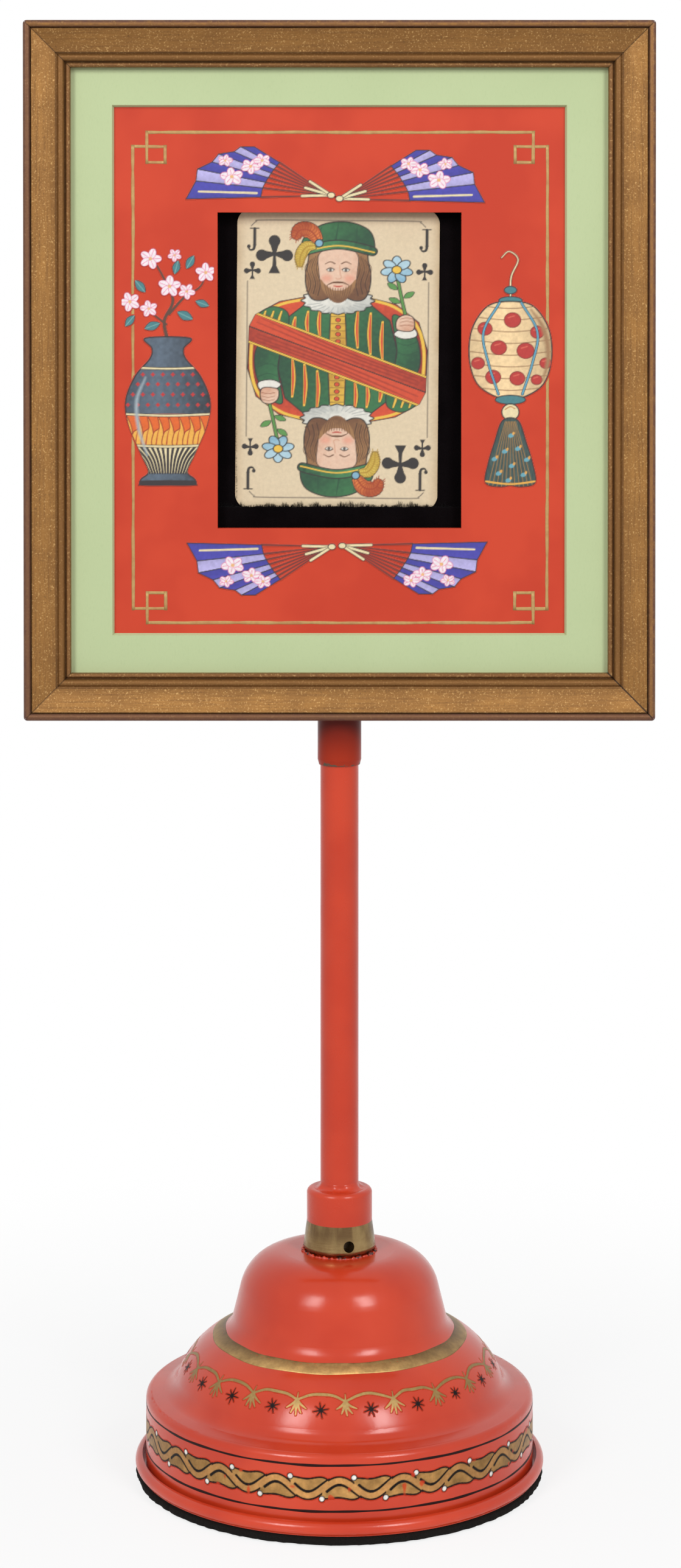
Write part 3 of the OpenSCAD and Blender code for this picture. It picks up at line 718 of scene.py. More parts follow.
SWAG_REPEATS = 20
SWAG_START = 1.7
SWAG_SCALE = 44.0
SWAG_TURNS = 1380
SWAG_ROWS = 46
SWAG_NODE = 40.0
STAR_AT = 34.6
tilt_up = np.radians(np.linspace(27.5, 46.5, SWAG_ROWS))
turn = full_turn(SWAG_TURNS)
coat = coat_for(turn[None] * SWAG_SCALE, bell_r * tilt_up[:, None])
hand = np.random.default_rng(21)
step = 2 * np.pi * SWAG_SCALE / SWAG_REPEATS
for k in range(SWAG_REPEATS):
    sway = hand.uniform(-0.25, 0.25, 12)
    v = bell_r * math.radians(SWAG_NODE)
    for lap in {0: (0, 1), SWAG_REPEATS - 1: (-1, 0)}.get(k, (0,)):
        u = (k - SWAG_REPEATS / 2 + lap * SWAG_REPEATS) * step + SWAG_START
        arch = [(u + 0.2, v + 0.1), (u + 0.26 * step, v + 1.55 + sway[0]),
                (u + 0.5 * step, v + 1.95 + sway[1]), (u + 0.76 * step, v + 1.5 + sway[2]),
                (u + step - 0.2, v + 0.1)]
        stroke(coat, arch, 0.86, BRONZE_PALE, (0.8, 0.8), 0.3, gilt=1.0)
        stroke(coat, [(u + sway[3], v + 2.1), (u, v - 0.2)], 0.6, BRONZE_PALE, (0.5, 1.0), gilt=1.0)
        for out, drop in ((-2.7, 2.4), (-1.3, 3.7), (0.2, 4.2), (1.6, 3.6), (2.9, 2.3)):
            tip = (u + out + sway[4], v - drop + sway[5])
            middle = (u + out * 0.42, v - drop * 0.52)
            stroke(coat, [(u, v + 0.2), middle, tip], 0.66, BRONZE_PALE, (0.8, 0.6), 0.4, gilt=1.0)
        star = np.array([u + step / 2 + sway[6], bell_r * math.radians(STAR_AT) + sway[7]])
        for arm in range(4):
            reach = (2.1 if arm % 2 == 0 else 1.8) * (1 + 0.5 * sway[9])
            way = aim(45 * arm + 90 * sway[8] + 8) * reach
            stroke(coat, [star - way, star + way], 0.47, BLACK_LINE, (0.6, 0.6), 0.5)
shade_sides(coat, SWAG_SCALE, SIDE_SHADE)
bell = bell_mid[0] + bell_r * np.cos(tilt_up), bell_mid[1] + bell_r * np.sin(tilt_up)
bands.append(cut_film("bell_swags", *ring_grid(*bell, SWAG_TURNS), coat, True))

RING_TURNS = 512
RING_ROWS = 12
RING_FROM = 25.55
RING_TO = 29.9
RING_WIDE = RING_TO - RING_FROM
RING_GAIN = 1.75
RING_SIDE_SHADE = 0.38
RING_SCALE = 35.0
neck_mid = np.array([36.97, 47.12])
neck_r = 6.0
neck_touch = math.atan2(neck_mid[1] - bell_mid[1], neck_mid[0] - bell_mid[0])


def bell_and_neck(run):
    """Radius and height after a run up the skin: along the arc of the bell, then the hollow of the neck."""
    up = run / bell_r
    back = neck_touch - (run - bell_r * neck_touch) / neck_r
    hollow = up > neck_touch
    radius = np.where(hollow, neck_mid[0] - neck_r * np.cos(back), bell_mid[0] + bell_r * np.cos(up))
    height = np.where(hollow, neck_mid[1] - neck_r * np.sin(back), bell_mid[1] + bell_r * np.sin(up))
    return radius, height


turn = full_turn(RING_TURNS)
low = RING_FROM + 0.15 * np.sin(4 * turn + 1) + 0.12 * np.sin(11 * turn)
high = RING_TO + 0.12 * np.sin(3 * turn) + 0.10 * np.sin(13 * turn + 2)
share = np.linspace(0, 1, RING_ROWS)[:, None]
bell = bell_and_neck(low + (high - low) * share)
ring = film("bell_ring", *ring_grid(*bell, RING_TURNS), True)
coat = coat_for(turn[None] * RING_SCALE, share * RING_WIDE)
# Painted light and shade: the ring is lighter at its lower edge and darker at its upper edge, over a mottle
# of paint thickness.
thick = (0.62 + 0.36 * mottle(coat["u"], coat["v"], 2.2, 31)) * (1.5 - 0.95 * coat["v"] / RING_WIDE)
bronze = np.asarray(BRONZE_PALE) * (thick * RING_GAIN)[:, None]
lay(coat, EVERYWHERE, np.full(coat["u"].size, 0.97), bronze, 1.0)
shade_sides(coat, RING_SCALE, RING_SIDE_SHADE)
put_paint(ring, coat)
bands.append(ring)
for band in bands:
    fit(band, base_paint, "base")


# Ferrule
# A turned brass piece on the tie rod, flared where it meets the crown, with a cross hole for a locking pin.
# The brass has gone brown, with brighter turning marks, and a bead of enamel has dried round its foot.
BRASS = (0.33, 0.225, 0.098, 1)
BRASS_BROWN = (0.16, 0.098, 0.040, 1)
BRASS_BRIGHT = (0.46, 0.33, 0.16, 1)
BRASS_SHADED = (0.115, 0.066, 0.032, 1)


def stretched(place, *scale):
    """Coordinates scaled along x, y and z, so that noise on them is drawn out."""
    return node(tree_of(place), "Mapping", {"Vector": place, "Scale": scale}).outputs[0]


brass_finish, shader, place = finish_for("tarnished brass")
flat = stretched(place, 0.12, 0.12, 1.0)
marks = noise(flat, 0.45, 4.0)
brown = noise(place, 5.0, 6.0, 0.65)
colour = mixed(span(brown, 0.3, 0.75, 0.0, 0.8), BRASS, BRASS_BROWN)
colour = mixed(times(marks, 0.25), colour, BRASS_BRIGHT)
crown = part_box("base_shell")[1].z
ferrule_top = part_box("ferrule")[1].z
up = axes_of(place)["Z"]
# Painted shade and reflection: dark upright streaks, strongest near the top, stand for the dark reflections
# on the upper half of the brass.
upright = stretched(place, 1.0, 1.0, 0.12)
painted_shade_streaks = span(noise(upright, 2.6, 3.0), 0.35, 0.65, 0.2, 0.85)
painted_shade_streaks = times(painted_shade_streaks, span(up, ferrule_top - 6.0 * MM, ferrule_top - 2.0 * MM, 0.3, 1.0))
painted_shade_streaks = times(painted_shade_streaks, calc("LESS_THAN", up, ferrule_top + MM))
colour = mixed(painted_shade_streaks, colour, BRASS_SHADED)
dabs = calc("ADD", noise(place, 1.3, 4.0), span(up, crown, crown + 1.6 * MM, 0.16, -0.4))
dabs = times(span(dabs, 0.56, 0.6), calc("LESS_THAN", up, ferrule_top))
colour = mixed(dabs, colour, RED_DEEP)
feed(shader, Base_Color=colour, Metallic=calc("SUBTRACT", 1.0, dabs),
     Roughness=span(brown, 0.3, 0.7, 0.2, 0.38))
bump(shader, marks, 0.05)
dress(brass_finish, "ferrule", "button_screws", *(f"turn_button_{number}" for number in range(1, 5)))

SEAM_R = 0.55
SEAM_IN = 0.05
SEAM_TURNS = 240
SEAM_DIRT = (0.035, 0.008, 0.006, 1)
seam_finish, shader, place = finish_for("enamel dried at the foot of the ferrule")
dirt = span(noise(place, 1.6, 4.0, 0.6), 0.47, 0.56)
feed(shader, Base_Color=mixed(dirt, RED_DEEP, SEAM_DIRT), Roughness=span(dirt, 0.0, 1.0, 0.25, 0.5))
angle = full_turn(SEAM_TURNS)
lump = 0.7 + 0.3 * np.sin(13 * angle + 1) + 0.3 * np.sin(31 * angle + 2) + 0.25 * np.sin(53 * angle)
lump = SEAM_R * np.clip(lump, 0.15, None)
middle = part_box("ferrule")[1].x / MM + 0.15 * np.sin(7 * angle)
sweep = np.linspace(0, np.pi, 7)[:, None]
flush = crown / MM - SEAM_IN + 0 * angle
radius = np.vstack([middle - lump, middle + lump, middle + lump * np.cos(sweep)])
height = np.vstack([flush, flush, crown / MM + lump * np.sin(sweep)])
seam = turned_ring("ferrule_seam", radius, height, SEAM_TURNS, 2, len(sweep))
fit(seam, seam_finish, "base")


# Stem
# A tube soldered into a collar that sits on the ferrule, enamelled red above it and bare where it goes down
# the bore. Above, it turns in a wider socket whose thin lip has lost its paint.
BARE_UNDER = 0.02
LIP_CHIPS = 2.6
collar_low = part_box("stem_collar")[0].z / MM
stem_finish = enamel("red enamel of the stem", 0.26, bare=collar_low - BARE_UNDER)
dress(stem_finish, "stem_tube", "stem_collar")
SOLDER_R = 1.9
SOLDER_IN = 0.05
SOLDER_LUMPS = 0.5
SOLDER_TURNS = 96
stem_r, collar_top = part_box("stem_tube")[1].x / MM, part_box("stem_collar")[1].z / MM
angle = full_turn(SOLDER_TURNS)
lumps = mottle((angle + np.pi) * stem_r, 0 * angle, 1.8, 12) - 0.5
sweep = np.linspace(0, np.pi / 2, 9)[:, None]
swell = SOLDER_LUMPS * lumps * np.sin(2 * sweep)
radius = stem_r + SOLDER_R * (1 - np.sin(sweep)) + swell
height = collar_top + SOLDER_R * (1 - np.cos(sweep)) + swell
inner, flush = stem_r - SOLDER_IN + 0 * angle, collar_top - SOLDER_IN + 0 * angle
radius = np.vstack([inner, radius[:1], radius, inner])
height = np.vstack([flush, flush, height, height[-1:]])
solder = turned_ring("collar_solder", radius, height, SOLDER_TURNS, 2, len(sweep))
fit(solder, stem_finish, "stem")
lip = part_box("stem_socket")[0].z / MM
shown_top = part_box("rail_bottom")[0].z / MM
# The socket gets painted shade, darker towards the top, for the shadow of the frame above it.
dress(enamel("red enamel chipped at the lip with painted shade", 0.3, (lip, LIP_CHIPS), (lip, shown_top)), "stem_socket")


# Moulding rails
# Four lengths of pine moulding, mitred, glued and wedged at the corners, finished with bronze powder over
# red-brown bole, which shows where the beads and corners have rubbed; dirt and painted shade darken the
# grooves.
GILT = (0.330, 0.158, 0.040, 1)
GILT_DARK = (0.172, 0.076, 0.020, 1)
GILT_GLINT = (0.66, 0.41, 0.16, 1)
BOLE = (0.115, 0.050, 0.036, 1)
DIRT = (0.055, 0.029, 0.015, 1)
PINE = (0.42, 0.27, 0.14, 1)
PINE_DARK = (0.27, 0.15, 0.07, 1)
OUTER_BEAD = (-1.0, 2.1)
STEP_BEAD = (9.2, 11.7)
SIGHT_BEAD = (11.7, 14.0)
CREASES = ((2.1, 2.45, 0.4), (9.05, 9.35, 0.26), (11.55, 11.85, 0.32))
rails = [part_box("rail_" + side) for side in ("left", "right", "bottom", "top")]
frame_half_w = rails[1][1].x
frame_low, frame_high = rails[2][0].z, rails[3][1].z
frame_mid, frame_half_h = (frame_low + frame_high) / 2, (frame_high - frame_low) / 2
rail_back = rails[0][1].y

gilding, shader, place = finish_for("worn bronze gilding")
axes = axes_of(place)
in_x = calc("SUBTRACT", frame_half_w, calc("ABSOLUTE", axes["X"]))
up = calc("SUBTRACT", axes["Z"], frame_mid)
in_z = calc("SUBTRACT", frame_half_h, calc("ABSOLUTE", up))
inset = calc("MINIMUM", in_x, in_z)
upright = calc("LESS_THAN", in_x, in_z)
along = calc("ADD", times(upright, axes["Z"]),
             times(calc("SUBTRACT", 1.0, upright), axes["X"]))
grain = node(gilding.node_tree, "CombineXYZ", {0: times(along, 0.035), 1: inset, 2: axes["Y"]})
streak = noise(grain.outputs[0], 0.55, 5.0, 0.6)
cloud = noise(place, 11.0, 4.0)
powder = noise(place, 0.5, 2.0)
rub = noise(place, 2.2, 6.0, 0.7)


def zone(low, high, soft=0.15):
    """1 on the part of the moulding from low to high millimetres inwards of its outer edge."""
    rise = span(inset, (low - soft) * MM, (low + soft) * MM)
    return times(rise, span(inset, (high - soft) * MM, (high + soft) * MM, 1.0, 0.0))


colour = mixed(span(cloud, 0.3, 0.7, 0.0, 0.45), GILT, GILT_DARK)
colour = mixed(span(streak, 0.42, 0.72, 0.0, 0.7), colour, GILT_DARK)
# Painted shade: the field darkens towards the step bead, where it sinks into the crease.
colour = mixed(span(inset, 5.5 * MM, STEP_BEAD[0] * MM, 0.0, 0.4), colour, GILT_DARK)
level = calc("SUBTRACT", 1.0, upright)
# Painted shade: the top rail is darker, as its field faces down.
top_rail_shade = times(level, calc("GREATER_THAN", up, 0.0))
colour = mixed(times(top_rail_shade, 0.3), colour, GILT_DARK)
colour = mixed(span(powder, 0.58, 0.78, 0.0, 0.5), colour, DIRT)
colour = mixed(span(powder, 0.44, 0.26, 0.0, 0.64), colour, GILT_GLINT)
# Painted shade: the step bead is darker.
colour = mixed(times(zone(*STEP_BEAD), 0.6), colour, GILT_DARK)
colour = mixed(times(zone(*SIGHT_BEAD), 0.22), colour, BOLE)
handled = calc("ADD", times(upright, calc("LESS_THAN", axes["X"], 0.0)),
               times(level, calc("LESS_THAN", up, 0.0)))
bead_worn = times(zone(*OUTER_BEAD), span(rub, 0.3, 0.6, 0.35, 0.92))
bead_held = times(zone(*OUTER_BEAD), times(handled, 0.8))
bead_worn = calc("MAXIMUM", bead_worn, bead_held)
colour = mixed(bead_worn, colour, BOLE)
lit = times(zone(0.85, 1.7, 0.25), span(rub, 0.35, 0.7, 0.25, 0.9))
lit = times(lit, calc("MULTIPLY_ADD", handled, -0.75, 1.0))
colour = mixed(lit, colour, GILT)
# Dirt settled in the creases, with painted shade where the grooves fall in shadow.
for low, high, depth in CREASES:
    crease_dirt_and_shade = times(zone(low, high, 0.2), span(cloud, 0.3, 0.7, 0.6 * depth, 1.3 * depth))
    colour = mixed(crease_dirt_and_shade, colour, DIRT)
parted = times(calc("GREATER_THAN", axes["X"], 0.0), calc("LESS_THAN", up, 0.0))
off_mitre = calc("ABSOLUTE", calc("SUBTRACT", in_x, in_z))
mitre = times(span(off_mitre, 0.15 * MM, 0.45 * MM, 1.0, 0.0),
             calc("MULTIPLY_ADD", parted, 0.6, 0.35))
colour = mixed(mitre, colour, DIRT)
corner = calc("ADD", in_x, in_z)
corner = calc("ADD", span(corner, 0.5 * MM, 4.5 * MM, 0.35, -0.4), rub)
colour = mixed(span(corner, 0.58, 0.7, 0.0, 0.85), colour, BOLE)
bare = span(axes["Y"], rail_back - 2.0 * MM, rail_back - 0.4 * MM)
colour = mixed(bare, colour, mixed(streak, PINE, PINE_DARK))
feed(shader, Base_Color=colour, Metallic=times(calc("SUBTRACT", 1.0, bare), 0.42),
     Roughness=span(rub, 0.25, 0.75, 0.36, 0.58), Specular_IOR_Level=0.3)
bump(shader, calc("ADD", streak, times(powder, 0.6)), 0.09)
dress(gilding, "rail_bottom", "rail_top", "rail_left", "rail_right")

FILLET = np.array([(9.0, 3.3), (9.62, 3.68), (9.62, 4.3), (9.0, 4.3)])
in_by, drop = FILLET.T[:, :, None]
side_x, side_z = np.array([-1, 1, 1, -1]), np.array([-1, -1, 1, 1])
loops = np.stack([side_x * (frame_half_w / MM - in_by), rails[0][0].y / MM + drop + 0 * side_x,
                  frame_mid / MM + side_z * (frame_half_h / MM - in_by)], -1)
squares = np.array(grid_faces(5, 4, True)) % 16
fillet = mesh_object("gesso_in_crease", loops.reshape(-1, 3), squares.tolist(), False)
fit(fillet, gilding, "frame")

GLUE_T = 0.04
GLUE_IN = np.array([0.6, 1.05, 2.0, 2.5, 9.05, 9.15, 11.5, 11.6, 13.1])
GLUE_DROP = np.array([1.2, 0.4, 1.7, 1.8, 3.2, 4.6, 4.8, 5.7, 5.8])
GLUE_BACK = 6.9
glue_finish = grained("dark glue", (0.03, 0.016, 0.010, 1), (0.09, 0.045, 0.022, 1), 1.5, 4.0, Roughness=0.6)
for name, sx, sz in (("left_low", -1, -1), ("right_low", 1, -1), ("left_high", -1, 1), ("right_high", 1, 1)):
    drop = np.stack([GLUE_DROP, np.full(len(GLUE_DROP), GLUE_BACK)])
    x = sx * (frame_half_w / MM - GLUE_IN) + 0 * drop
    z = frame_mid / MM + sz * (frame_half_h / MM - GLUE_IN) + 0 * drop
    grid = np.stack([x, rails[0][0].y / MM + drop, z], -1)
    across = np.array([sx, 0, -sz]) / math.sqrt(2) * GLUE_T
    side = np.sign(np.dot(np.cross(grid[0, 1] - grid[0, 0], grid[1, 0] - grid[0, 0]), across))
    line = film("mitre_glue_" + name, grid + side * across / 2, np.broadcast_to(-side * across, grid.shape))
    fit(line, glue_finish, "frame")


# Green mat
# Pale green mount board with a bevel-cut opening, laid in the rebate on top of the panel.
# The surface paper has a faint fibre and has darkened a little in broad patches.
MAT_GREEN = (0.515, 0.605, 0.342, 1)
MAT_AGED = (0.475, 0.568, 0.312, 1)
MAT_FIBRE = (0.43, 0.53, 0.29, 1)
mat_finish, shader, place = finish_for("pale green mount board")
fibre = noise(stretched(place, 1.0, 1.0, 0.35), 0.5, 4.0, 0.6)
aged = noise(place, 40.0)
colour = mixed(span(aged, 0.35, 0.7, 0.0, 0.5), MAT_GREEN, MAT_AGED)
colour = mixed(span(fibre, 0.5, 0.8, 0.0, 0.35), colour, MAT_FIBRE)
feed(shader, Base_Color=colour, Roughness=0.85, Specular_IOR_Level=0.2)
bump(shader, fibre, 0.05)
dress(mat_finish, "green_mat")


# Red panel with its painted border
# Thin board in orange-red enamel with a window cut for the card. A bronze line runs round it by hand and
# makes a square key at each corner.
dress(enamel("satin red enamel on board", 0.5), "red_panel")
panel_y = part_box("red_panel")[0].y / MM
frame_z = frame_mid / MM
panel_paint = painted("pictures on red enamel", RED, RED_DEEP, 0.5, 0.5, (0.88, 1.08))
BORDER_W = 0.9
BORDER_LAP = 0.004
BORDER_X = (-59.9, 60.3)
BORDER_Z = (frame_z - 73.3, frame_z + 69.0)
KEY_IN = 4.1
KEY_OUT = 9.4
KEY_DROP = 8.7
BORDER_GOLD = (0.48, 0.31, 0.112)


def flat_film(name, u, v, face, body, material):
    """A film of paint on a board that faces the front: grids of right and up coordinates at depth face."""
    grid = np.stack([u, np.full(u.shape, face - PAINT_T), v], -1)
    piece = film(name, grid, np.broadcast_to([0, 2 * PAINT_T, 0], grid.shape))
    fit(piece, material, body)
    return piece


def key_path():
    """Corners of the border line, as one closed walk: each corner turns in, round a square and out again."""
    walk = []
    for sx, sz in ((-1, 1), (1, 1), (1, -1), (-1, -1)):
        x = BORDER_X[0] if sx < 0 else BORDER_X[1]
        z = BORDER_Z[0] if sz < 0 else BORDER_Z[1]
        key = [(x, z - sz * KEY_IN), (x - sx * KEY_OUT, z - sz * KEY_IN),
               (x - sx * KEY_OUT, z - sz * KEY_DROP), (x - sx * KEY_IN, z - sz * KEY_DROP),
               (x - sx * KEY_IN, z)]
        walk += key if sx * sz < 0 else key[::-1]
    return np.array(walk + walk[:1])


hand = np.random.default_rng(41)
walk = key_path()
for number, (a, b) in enumerate(zip(walk[:-1], walk[1:])):
    run = np.linalg.norm(b - a)
    way = (b - a) / run
    square = np.array([-way[1], way[0]])
    t = np.linspace(-BORDER_W / 2, run + BORDER_W / 2, max(4, int(run / 1.2)))
    sway = 0.16 * (mottle(t + 50 * number, 0 * t, 9.0, 42) - 0.5)
    swell = BORDER_W / 2 * (0.82 + 0.36 * mottle(t + 50 * number, 0 * t, 3.0, 43))
    across = np.array([-1, -0.3, 0.3, 1])[:, None]
    points = a + t[None, :, None] * way + (sway + across * swell)[..., None] * square
    face = panel_y - BORDER_LAP * (number % 2)
    name = f"border_run_{number + 1}"
    line = flat_film(name, points[..., 0], points[..., 1], face, "frame", panel_paint)
    coat = coat_for(points[..., 0], points[..., 1])
    thin = np.clip(0.80 + 0.35 * mottle(coat["u"], coat["v"], 2.0, 44), 0, 0.97)
    lay(coat, EVERYWHERE, thin, BORDER_GOLD, 0.6)
    put_paint(line, coat)


# Pictures on the panel
# Paper scraps, cut out, pasted on and varnished over: folding fans with blossom above and below the window,
# a vase with a flowering branch on the left and a paper lantern on the right.
PICTURE_CELL = 0.22
SCRAP_T = 0.012
INK = (0.02, 0.014, 0.016)
FAN_BLUE = (0.055, 0.05, 0.33)
FAN_LILAC = (0.44, 0.40, 0.70)
PETAL = (0.88, 0.79, 0.83)
PETAL_EDGE = (0.78, 0.16, 0.33)
POLLEN = (0.80, 0.45, 0.20)
CREAM = (0.80, 0.68, 0.40)


def picture(name, u_range, v_range, paint, spot):
    """A paper scrap: paint works on a coat in the scrap's coordinates, and spot puts these on the panel."""
    columns = int((u_range[1] - u_range[0]) / PICTURE_CELL)
    rows = int((v_range[1] - v_range[0]) / PICTURE_CELL)
    u, v = np.meshgrid(np.linspace(*u_range, columns), np.linspace(*v_range, rows))
    x, z = spot(u, v)
    if np.sign(x[0, 1] - x[0, 0]) * np.sign(z[1, 0] - z[0, 0]) < 0:
        u, v, x, z = u[:, ::-1], v[:, ::-1], x[:, ::-1], z[:, ::-1]
    coat = coat_for(u, v)
    paint(coat)
    grid = np.stack([x, np.full(x.shape, panel_y - PAINT_T - SCRAP_T), z], -1)
    scrap = cut_film(name, grid, np.array([0, 2 * PAINT_T + SCRAP_T, 0]), coat)
    fit(scrap, panel_paint, "frame")


def blossom(coat, middle, size, turn=0.0, flat=0.75):
    """Five petals round a yellow eye, pink at their edges."""
    for lean in turn + 72 * np.arange(5):
        way = aim(lean) * (size, flat * size)
        disc(coat, middle + 0.58 * way, (0.5 * size, 0.36 * size), PETAL, lean, edge=PETAL_EDGE, edge_w=0.16)
        stroke(coat, [middle, middle + 0.95 * way], 0.22, PETAL_EDGE, (0.3, 1.0))
    disc(coat, middle, 0.17 * size, POLLEN)


def layered(coat, points, layers, *shape):
    """Strokes of one shape on top of each other along the same points: layers of width and colour."""
    for width, colour in layers:
        stroke(coat, points, width, colour, *shape)


def leaf(coat, root, way, slim, colour, ink):
    """A pointed leaf along way from its root, half as wide as slim times its length."""
    middle, side = root + way / 2, slim * np.array([-way[1], way[0]])
    fill(coat, [root, middle + side, root + way, middle - side], colour, edge=ink, edge_w=0.18)


FAN_BLOSSOM = ((29.5, 10.5, 3.1, 10), (25.0, 19.5, 2.6, 50), (32.5, 18.0, 2.0, 30), (22.6, 26.5, 2.3, 70))
FAN_RIB = (0.30, 0.035, 0.02)
fan_lean = np.radians([-1.5, 6.0, 11.0, 15.5, 20.0, 24.0, 28.0, 32.0])
fan_far = np.array([41.8, 40.4, 39.2, 36.8, 34.4, 31.8, 29.4, 27.2])
fan_near = np.array([20.6, 20.2, 19.6, 19.1, 18.7, 18.4, 18.1, 17.9])


def toned_pleat(colour, way):
    """A pleat's colour, darker towards the fold along way, with the grain of a cheap print."""
    share = lambda u, v: np.clip((v * way[0] - u * way[1]) / 3.0, 0, 1)
    return shaded(colour, lambda u, v: 0.82 + 0.25 * share(u, v) + 0.16 * mottle(u, v, 0.8, 45))


def fan(coat):
    """A half-open folding fan: pleats between two edges, ribs that meet at the rivet, blossom on the leaf."""
    way = np.stack([np.cos(fan_lean), np.sin(fan_lean)], 1)
    fold = np.where(np.arange(len(way)) % 2 == 0, 0.5, -0.8)
    near, far = way * fan_near[:, None], way * (fan_far + fold)[:, None]
    for k in range(len(way)):
        rivet = np.array([1.2, 0.2 * (k - 3.5) / 7])
        stroke(coat, [rivet, near[k]], 0.55, FAN_RIB, (0.5, 1.2))
        stroke(coat, [rivet, near[k]], 0.22, INK, (0.6, 1.0))
    for k in range(len(way) - 1):
        tone = toned_pleat(FAN_BLUE if k % 2 == 0 else FAN_LILAC, way[k])
        fill(coat, [near[k], far[k], far[k + 1], near[k + 1]], tone, bent=False, edge=INK, edge_w=0.26)
    strip = aim(1.6)
    stroke(coat, [strip * 21.8, strip * 38.6], 0.62, CREAM, (1.0, 0.85))
    for reach, lean, size, turn in FAN_BLOSSOM:
        blossom(coat, reach * aim(lean), size, turn, 0.62)
    for k in (0, 3, 7):
        layered(coat, [(0.2, 0.0), near[k] * 0.42], ((1.15, INK), (0.75, CREAM)), (0.9, 0.9))
    disc(coat, (0.2, 0.0), (1.1, 0.85), CREAM, edge=INK, edge_w=0.25)


fan_rivets = {"fan_top_left": (-2.2, frame_z + 50.8, -1, 1), "fan_top_right": (-0.2, frame_z + 49.8, 1, 1),
              "fan_low_left": (-2.0, frame_z - 51.2, -1, -1), "fan_low_right": (0.6, frame_z - 50.9, 1, -1)}
for name, (x, z, right, up) in fan_rivets.items():
    picture(name, (-1.2, 43.4), (-2.6, 17.4), fan, lambda u, v: (x + right * u, z + up * v))

BARK = (0.09, 0.04, 0.025)
LEAF_VEIN = (0.20, 0.42, 0.40)
SLATE = (0.055, 0.075, 0.10)
TEAL = (0.06, 0.20, 0.22)
FLAME = (0.72, 0.13, 0.02)
FLAME_PALE = (0.82, 0.42, 0.07)
LANTERN_PAPER = (0.76, 0.55, 0.30)
DOT_RED = (0.46, 0.035, 0.03)
CORD_BLUE = (0.12, 0.36, 0.50)
TASSEL = (0.03, 0.055, 0.05)
STAR_RED = (0.50, 0.03, 0.03)
FLAME_EDGE = (0.30, 0.03, 0.012)
FLAME_DEEP = (0.42, 0.05, 0.015)
GLAZE_LIT = (0.35, 0.42, 0.46)
HOOP = (0.28, 0.15, 0.07)
DOT_EDGE = (0.20, 0.02, 0.018)
DOT_LIT = (0.66, 0.12, 0.08)
PAPER_SHADE = (0.34, 0.19, 0.09)
KNOT = (0.45, 0.20, 0.05)
THREAD = (0.30, 0.17, 0.06)
SPOT_BLUE = (0.13, 0.36, 0.44)
SPOT_GOLD = (0.72, 0.36, 0.08)


def both(points):
    """An outline from its right side, low to high: these points, then their mirror images, high to low."""
    right = np.asarray(points, float)
    return np.concatenate([right, right[::-1] * (-1, 1)])


def stencil(coat, points, bent=True):
    """Sets a stencil: what follows is laid only inside this outline."""
    cut = coat_for(coat["u"], coat["v"])
    fill(cut, points, (1, 1, 1), bent=bent)
    coat["stencil"] = cut["cover"]


